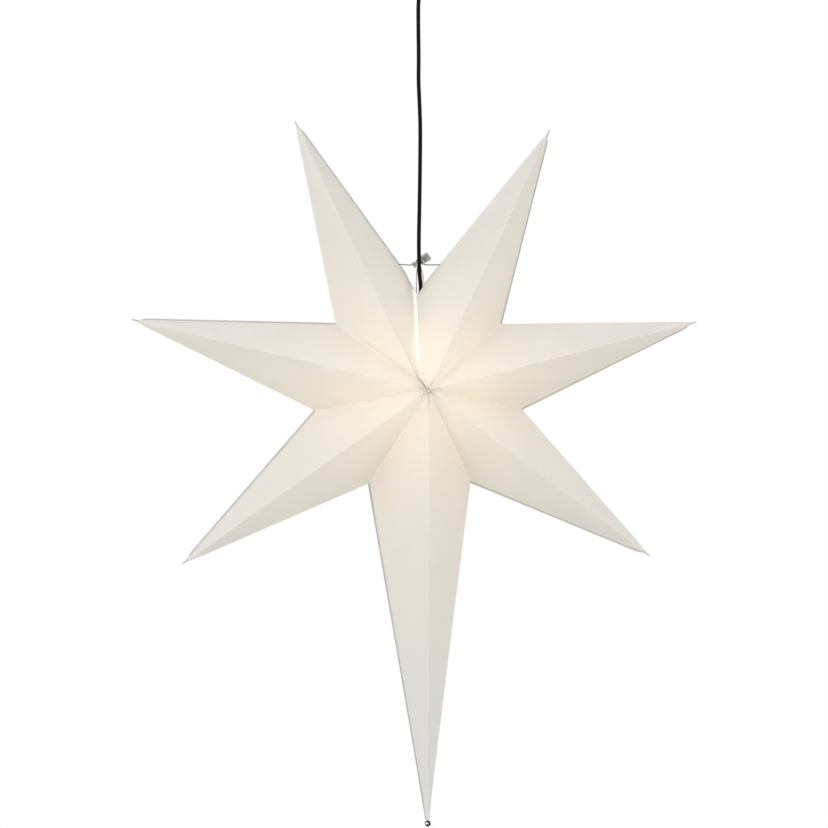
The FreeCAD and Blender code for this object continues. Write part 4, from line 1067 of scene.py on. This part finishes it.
def makeHolder():
    look = lampHolder
    cord, wall, wide = look["cordHole"], look["wall"], look["capRadius"]
    under = look["shoulder"] - look["roof"]
    rows = look["fluteRows"]
    profile = [
        (cord, look["capTop"], 0.4), (look["collar"], look["capTop"], 0.6),
        (look["collar"], look["capTop"] - look["collarLength"], 1.2), (wide - 2, look["shoulder"], 1.0),
        (wide, look["shoulder"], 0.5), *[(wide, row) for row in rows], (wide, look["capFoot"], 0.4),
        (wide - wall, look["capFoot"], 0.2), (wide - wall, under), (cord, under),
    ]

    def fluted(radius, height, angle):
        # 48 flutes round the cap's wall: radius - depth (0.5 + 0.5 cos 48 a)
        on = (radius > wide - 0.6) * eased((height - rows[-1]) / 2) * eased((rows[0] - height) / 2)
        return radius - look["fluteDepth"] * on * (0.5 + 0.5 * np.cos(look["flutes"] * angle))

    mesh = gridMesh("holderCap", atHolder(turnedGrid(profile, 384, ripple=fluted)))
    cap = piece("holderCap", mesh, finish["bakelite"], "pendant", ("holder_cap",))
    grip = look["capTop"] - look["gripDrop"] + starMiddle[2]
    cutMesh(cap, rodMesh((0, 0, grip), (8, 0, grip), look["gripHole"]))
    narrow, foot, seat = look["shell"] + look["shellPlay"], look["skirtFoot"], look["coreFoot"] - 0.1
    low, top, head = look["capFoot"] - look["rimLength"], look["capFoot"] - 0.2, look["coreTop"] + 1
    skirt, rim = look["skirtRadius"], look["skirtRadius"] + look["rimStep"]
    rings = [(narrow + wall, z) for z in np.arange(foot + 1, low - 1, 0.5)]
    profile = [
        (narrow, foot, 0.3), (narrow + wall, foot, 0.5), *rings, (narrow + wall, low, 0.5), (rim, low, 0.5),
        (rim, top, 0.2), (skirt - 0.3, top), (skirt - 0.3, head, 0.2), (skirt - look["lining"], head, 0.2),
        (skirt - look["lining"], seat), (narrow, seat),
    ]

    def ringed(radius, height, angle):
        # Fine rings round the skirt's outside: radius - depth (0.5 - 0.5 cos(2 pi h / step))
        on = (radius > narrow + wall - 0.3) * (height < low - 1) * (height > foot + 1)
        wave = 0.5 - 0.5 * np.cos(2 * math.pi * (height - foot) / look["ringStep"])
        return radius - look["ringDepth"] * on * wave

    mesh = gridMesh("holderSkirt", atHolder(turnedGrid(profile, 128, ripple=ringed)))
    piece("holderSkirt", mesh, finish["bakelite"], "pendant", ("holder_skirt",))
    dressed("holder_core", finish["porcelain"], 0.4)

    def threaded(radius, height, angle):
        # radius + depth (0.5 - 0.5 cos(2 pi h / pitch - a)): a rounded thread pressed into the sheet
        return radius + look["threadDepth"] * (0.5 - 0.5 * np.cos(2 * math.pi * height / look["pitch"] - angle))

    steps = np.arange(foot + look["shellRise"], look["coreFoot"], 0.3)
    profile = [(look["shell"], z) for z in steps] + [(look["shell"] + look["sheet"], z) for z in steps[::-1]]
    mesh = gridMesh("screwShell", atHolder(turnedGrid(profile, 64, ripple=threaded)))
    piece("screwShell", mesh, finish["brass"], "pendant", ("screw_shell",))
    mesh = gridMesh("centreContact", atHolder(turnedGrid(look["contact"], 48, closed=False)))
    piece("centreContact", mesh, finish["brass"], "pendant", ("centre_contact",))
    places = [(0, y, look["coreTop"] + starMiddle[2]) for y in look["coreScrews"]]
    makeScrews("coreScrew", places, lambda place: (0, 0, -1), *look["coreScrew"], finish["brass"], "pendant",
               "brass_parts", "core_screws")
    places = [(look["collar"] + 0.05, 0, grip)]
    makeScrews("gripScrew", places, lambda place: (-1, 0, 0), *look["gripScrew"], finish["nylon"], "pendant",
               "black_nylon", "grip_screw")
    print("lampholder made")


makeHolder()

wires = {
    # Each body's wires, with x, y and height below the ceiling for side 1, the live wire, or -1, the neutral one
    "ceiling_fitting": {"radius": 1.0, "route": lambda side: [
        (1.2 * side, 0, -40), (1.2 * side, 0, -29), (3.5, 4 * side, -18), (7, 5 * side, -12),
        (22, 5 * side, -12),
    ]},
    "pendant": {"radius": 0.9, "route": lambda side: [
        (1.3 * side, 0, -534), (1.3 * side, 0, -538.5), (7 * side, 0, -540.5), (7 * side, 0, -551),
    ]},
}


def makeWires():
    jobs = [
        ("liveWire", "live_wire", "ceiling_fitting", 1),
        ("neutralWire", "neutral_wire", "ceiling_fitting", -1),
        ("innerLiveWire", "inner_live_wire", "pendant", 1),
        ("innerNeutralWire", "inner_neutral_wire", "pendant", -1),
    ]
    for name, node, body, side in jobs:
        look = wires[body]
        line = smoothLine(look["route"](side), 0.4)[0]
        grid = tubeGrid(line, look["radius"] * mm, (0.1, 1, 0.2), 24, 0.1)
        jacket, slot = ("brownJacket", "brown_insulation") if side > 0 else ("blueJacket", "blue_insulation")
        piece(name, gridMesh(name, grid, merge=1e-7), finish[jacket], body, (node,))
    print("wires made")


makeWires()

bulbLook = {
    "radius": 30.0, "middle": 9.0, "ballTurn": 48, "wall": 0.9, "neck": 12.5, "neckFoot": 57.5, "neckTop": 64.0,
    "cap": 13.0, "capFoot": 58.0, "capSheet": 0.4, "top": 84.3, "mouth": 9.25,
    "threadDepth": 0.75, "threadFoot": 59.5, "threadTop": 79,
}


def makeBulb():
    look = bulbLook
    # A ball that runs into the neck: radius cos a, middle + radius sin a up to ballTurn, then a cubic with
    # the ball's own slope at its foot and an upright one at the neck.
    turn = math.radians(look["ballTurn"])
    angle = np.linspace(-math.pi / 2, turn, 48)
    ball = np.stack([look["radius"] * np.cos(angle), look["middle"] + look["radius"] * np.sin(angle)], -1)
    t = np.linspace(0, 1, 20)[1:, None]
    start, end = ball[-1], np.array([look["neck"], look["neckFoot"]])
    reach = np.linalg.norm(end - start)
    leave, arrive = reach * np.array([-math.sin(turn), math.cos(turn)]), reach * np.array([0, 1.0])
    neck = ((2 * t**3 - 3 * t**2 + 1) * start + (t**3 - 2 * t**2 + t) * leave + (3 * t**2 - 2 * t**3) * end
            + (t**3 - t**2) * arrive)
    outside = np.concatenate([ball, neck, [[look["neck"], look["neckTop"]]]])
    slope = np.gradient(outside, axis=0)
    slope /= np.linalg.norm(slope, axis=1, keepdims=True)
    inside = outside + look["wall"] * np.stack([-slope[:, 1], slope[:, 0]], -1)
    inside[:, 0] = np.maximum(inside[:, 0], 0)
    inside[0] = (0, inside[0, 1])
    profile = np.concatenate([outside, inside[::-1]])
    mesh = gridMesh("bulbGlass", atHolder(turnedGrid(profile.tolist(), 96)), sharp=60)
    piece("bulbGlass", mesh, finish["opal"], "bulb", ("bulb_glass",))

    def threaded(radius, height, angle):
        # radius - depth (0.5 + 0.5 cos(2 pi h / pitch - a)), which meshes with the shell's thread
        low, high = look["threadFoot"], look["threadTop"]
        on = eased((height - low) / 1.5) * eased((high - height) / 1.5) * (height < high + 0.5)
        wave = 0.5 + 0.5 * np.cos(2 * math.pi * height / lampHolder["pitch"] - angle)
        return radius - look["threadDepth"] * on * wave

    low, high = look["capFoot"], look["top"] - 2.6
    steps = np.arange(low + 0.6, high - 2.2, 0.3)
    cap, thick = look["cap"], look["capSheet"]
    profile = [(cap - thick, low), (cap, low)] + [(cap, z) for z in steps]
    profile += [(cap, high - 2.1), (cap - 1.9, high - 0.6, 0.5), (look["mouth"], high)]
    profile += [(look["mouth"], high - 0.4), (cap - 2.3, high - 1.0, 0.4), (cap - thick, high - 2.3)]
    profile += [(cap - thick, z) for z in steps[::-1]]
    mesh = gridMesh("bulbCap", atHolder(turnedGrid(profile, 96, ripple=threaded)))
    piece("bulbCap", mesh, finish["nickel"], "bulb", ("bulb_cap",))
    top = look["top"]
    profile = [(0, top - 3), (9.1, top - 3, 0.2), (9.1, top - 2.3, 0.3), (5.2, top - 0.7, 0.3), (0, top - 0.7)]
    mesh = gridMesh("bulbInsulator", atHolder(turnedGrid(profile, 64, closed=False)))
    piece("bulbInsulator", mesh, finish["blackGlass"], "bulb", ("bulb_insulator",))
    profile = [(0, top - 0.7), (4.4, top - 0.7, 0.1), (4.2, top - 0.35, 0.2), (2.2, top, 0.6), (0, top)]
    mesh = gridMesh("bulbTipContact", atHolder(turnedGrid(profile, 48, closed=False)))
    piece("bulbTipContact", mesh, finish["nickel"], "bulb", ("bulb_tip_contact",))
    dressed("bulb_stem", finish["clearGlass"], 0.15)
    dressed("bulb_filaments", finish["filament"], 0.2)
    print("bulb made")


makeBulb()

ceilingFitting = {
    "cupRadius": 46.0, "cupFoot": 61.0, "cupWall": 0.8, "cupTop": 1.0, "stem": 5.0, "mouth": 72.0, "bush": 9.0,
    "bore": 3.1, "stemTop": 44.0, "screwHeight": 8.0, "cupScrewHole": 1.75, "bushScrewHole": 1.6,
    "bushScrewDrop": 4, "blockFoot": 19.0, "blockScrews": [(19, -5), (19, 5)],
    "cupScrew": ((1.5, 7), (3, 2)), "bushScrew": ((1.5, 6), (2.4, 1.8)),  # shank and head: radius and length
    "terminalScrew": ((1.3, 5.9), (2.2, 1.5)),
}


def makeCeilingFitting():
    look = ceilingFitting
    wide, wall, foot = look["cupRadius"], look["cupWall"], -look["cupFoot"]
    hole = look["stem"] + 0.2
    profile = [
        (hole, foot), (wide, foot, 5), (wide, -look["cupTop"], 0.3), (wide - wall, -look["cupTop"], 0.3),
        (wide - wall, foot + wall, 4.4), (hole, foot + wall),
    ]
    mesh = gridMesh("ceilingCup", placed(turnedGrid(profile, 128)))
    cup = piece("ceilingCup", mesh, finish["enamel"], "ceiling_fitting", ("ceiling_cup",))
    height = -look["screwHeight"]
    for side in (1, -1):
        ends = [(side * (wide + past), 0, height) for past in (-2, 2)]
        cutMesh(cup, rodMesh(*ends, look["cupScrewHole"]))
    places = [(side * wide, 0, height) for side in (1, -1)]
    makeScrews("cupScrew", places, lambda place: (-math.copysign(1, place[0]), 0, 0), *look["cupScrew"],
               finish["enamel"], "ceiling_fitting", "black_enamel", "cup_screws")
    mouth = -look["mouth"]
    profile = [
        (look["bore"] + 1.3, mouth, 0.8), (look["bush"] - 1.6, mouth, 1.0), (look["bush"], mouth + 5, 1.5),
        (look["bush"], foot, 0.5), (look["stem"], foot), (look["stem"], -look["stemTop"], 0.4),
        (look["bore"], -look["stemTop"], 0.3), (look["bore"], mouth + 3, 1.2),
    ]
    mesh = gridMesh("cordBush", placed(turnedGrid(profile, 96)))
    bush = piece("cordBush", mesh, finish["nylon"], "ceiling_fitting", ("cord_bush",))
    height = foot - look["bushScrewDrop"]
    cutMesh(bush, rodMesh((0, 0, height), (10, 0, height), look["bushScrewHole"]))
    makeScrews("bushScrew", [(look["bush"], 0, height)], lambda place: (-1, 0, 0), *look["bushScrew"],
               finish["nylon"], "ceiling_fitting", "black_nylon", "bush_screw")
    places = [(x, y, -look["blockFoot"]) for x, y in look["blockScrews"]]
    makeScrews("terminalScrew", places, lambda place: (0, 0, 1), *look["terminalScrew"], finish["brass"],
               "ceiling_fitting", "brass_parts", "terminal_screws")
    dressed("ceiling_plate", finish["zinc"], 0.3)
    dressed("bush_nut", finish["zinc"], 0.4)
    dressed("terminal_block", finish["whiteNylon"], 0.5)
    print("ceiling fitting made")


makeCeilingFitting()


def makeFloor():
    # A pale disc well below the star.
    made, nodes, links, shader = newMaterial("studioFloor")
    grain = pattern(nodes, links, "ShaderNodeTexNoise", 3)
    pale = studio["floorColour"]
    links.new(tinted(nodes, links, grain.outputs["Fac"], tuple(c * 0.985 for c in pale), pale),
              shader.inputs["Base Color"])
    shader.inputs["Roughness"].default_value = 0.9
    wide, rim = studio["floorRadius"] * 1000, studio["floorEdge"]
    profile = [(0, 0), (wide, 0, rim), (wide, -rim), (0, -rim)]
    grid = turnedGrid(profile, 128, closed=False)
    mesh = gridMesh("studioFloor", placed(grid, (0, 0, studio["floorDrop"] * 1000)))
    floor = bpy.data.objects.new("studioFloor", mesh)
    mesh.materials.append(made)
    bpy.context.scene.collection.objects.link(floor)


makeFloor()
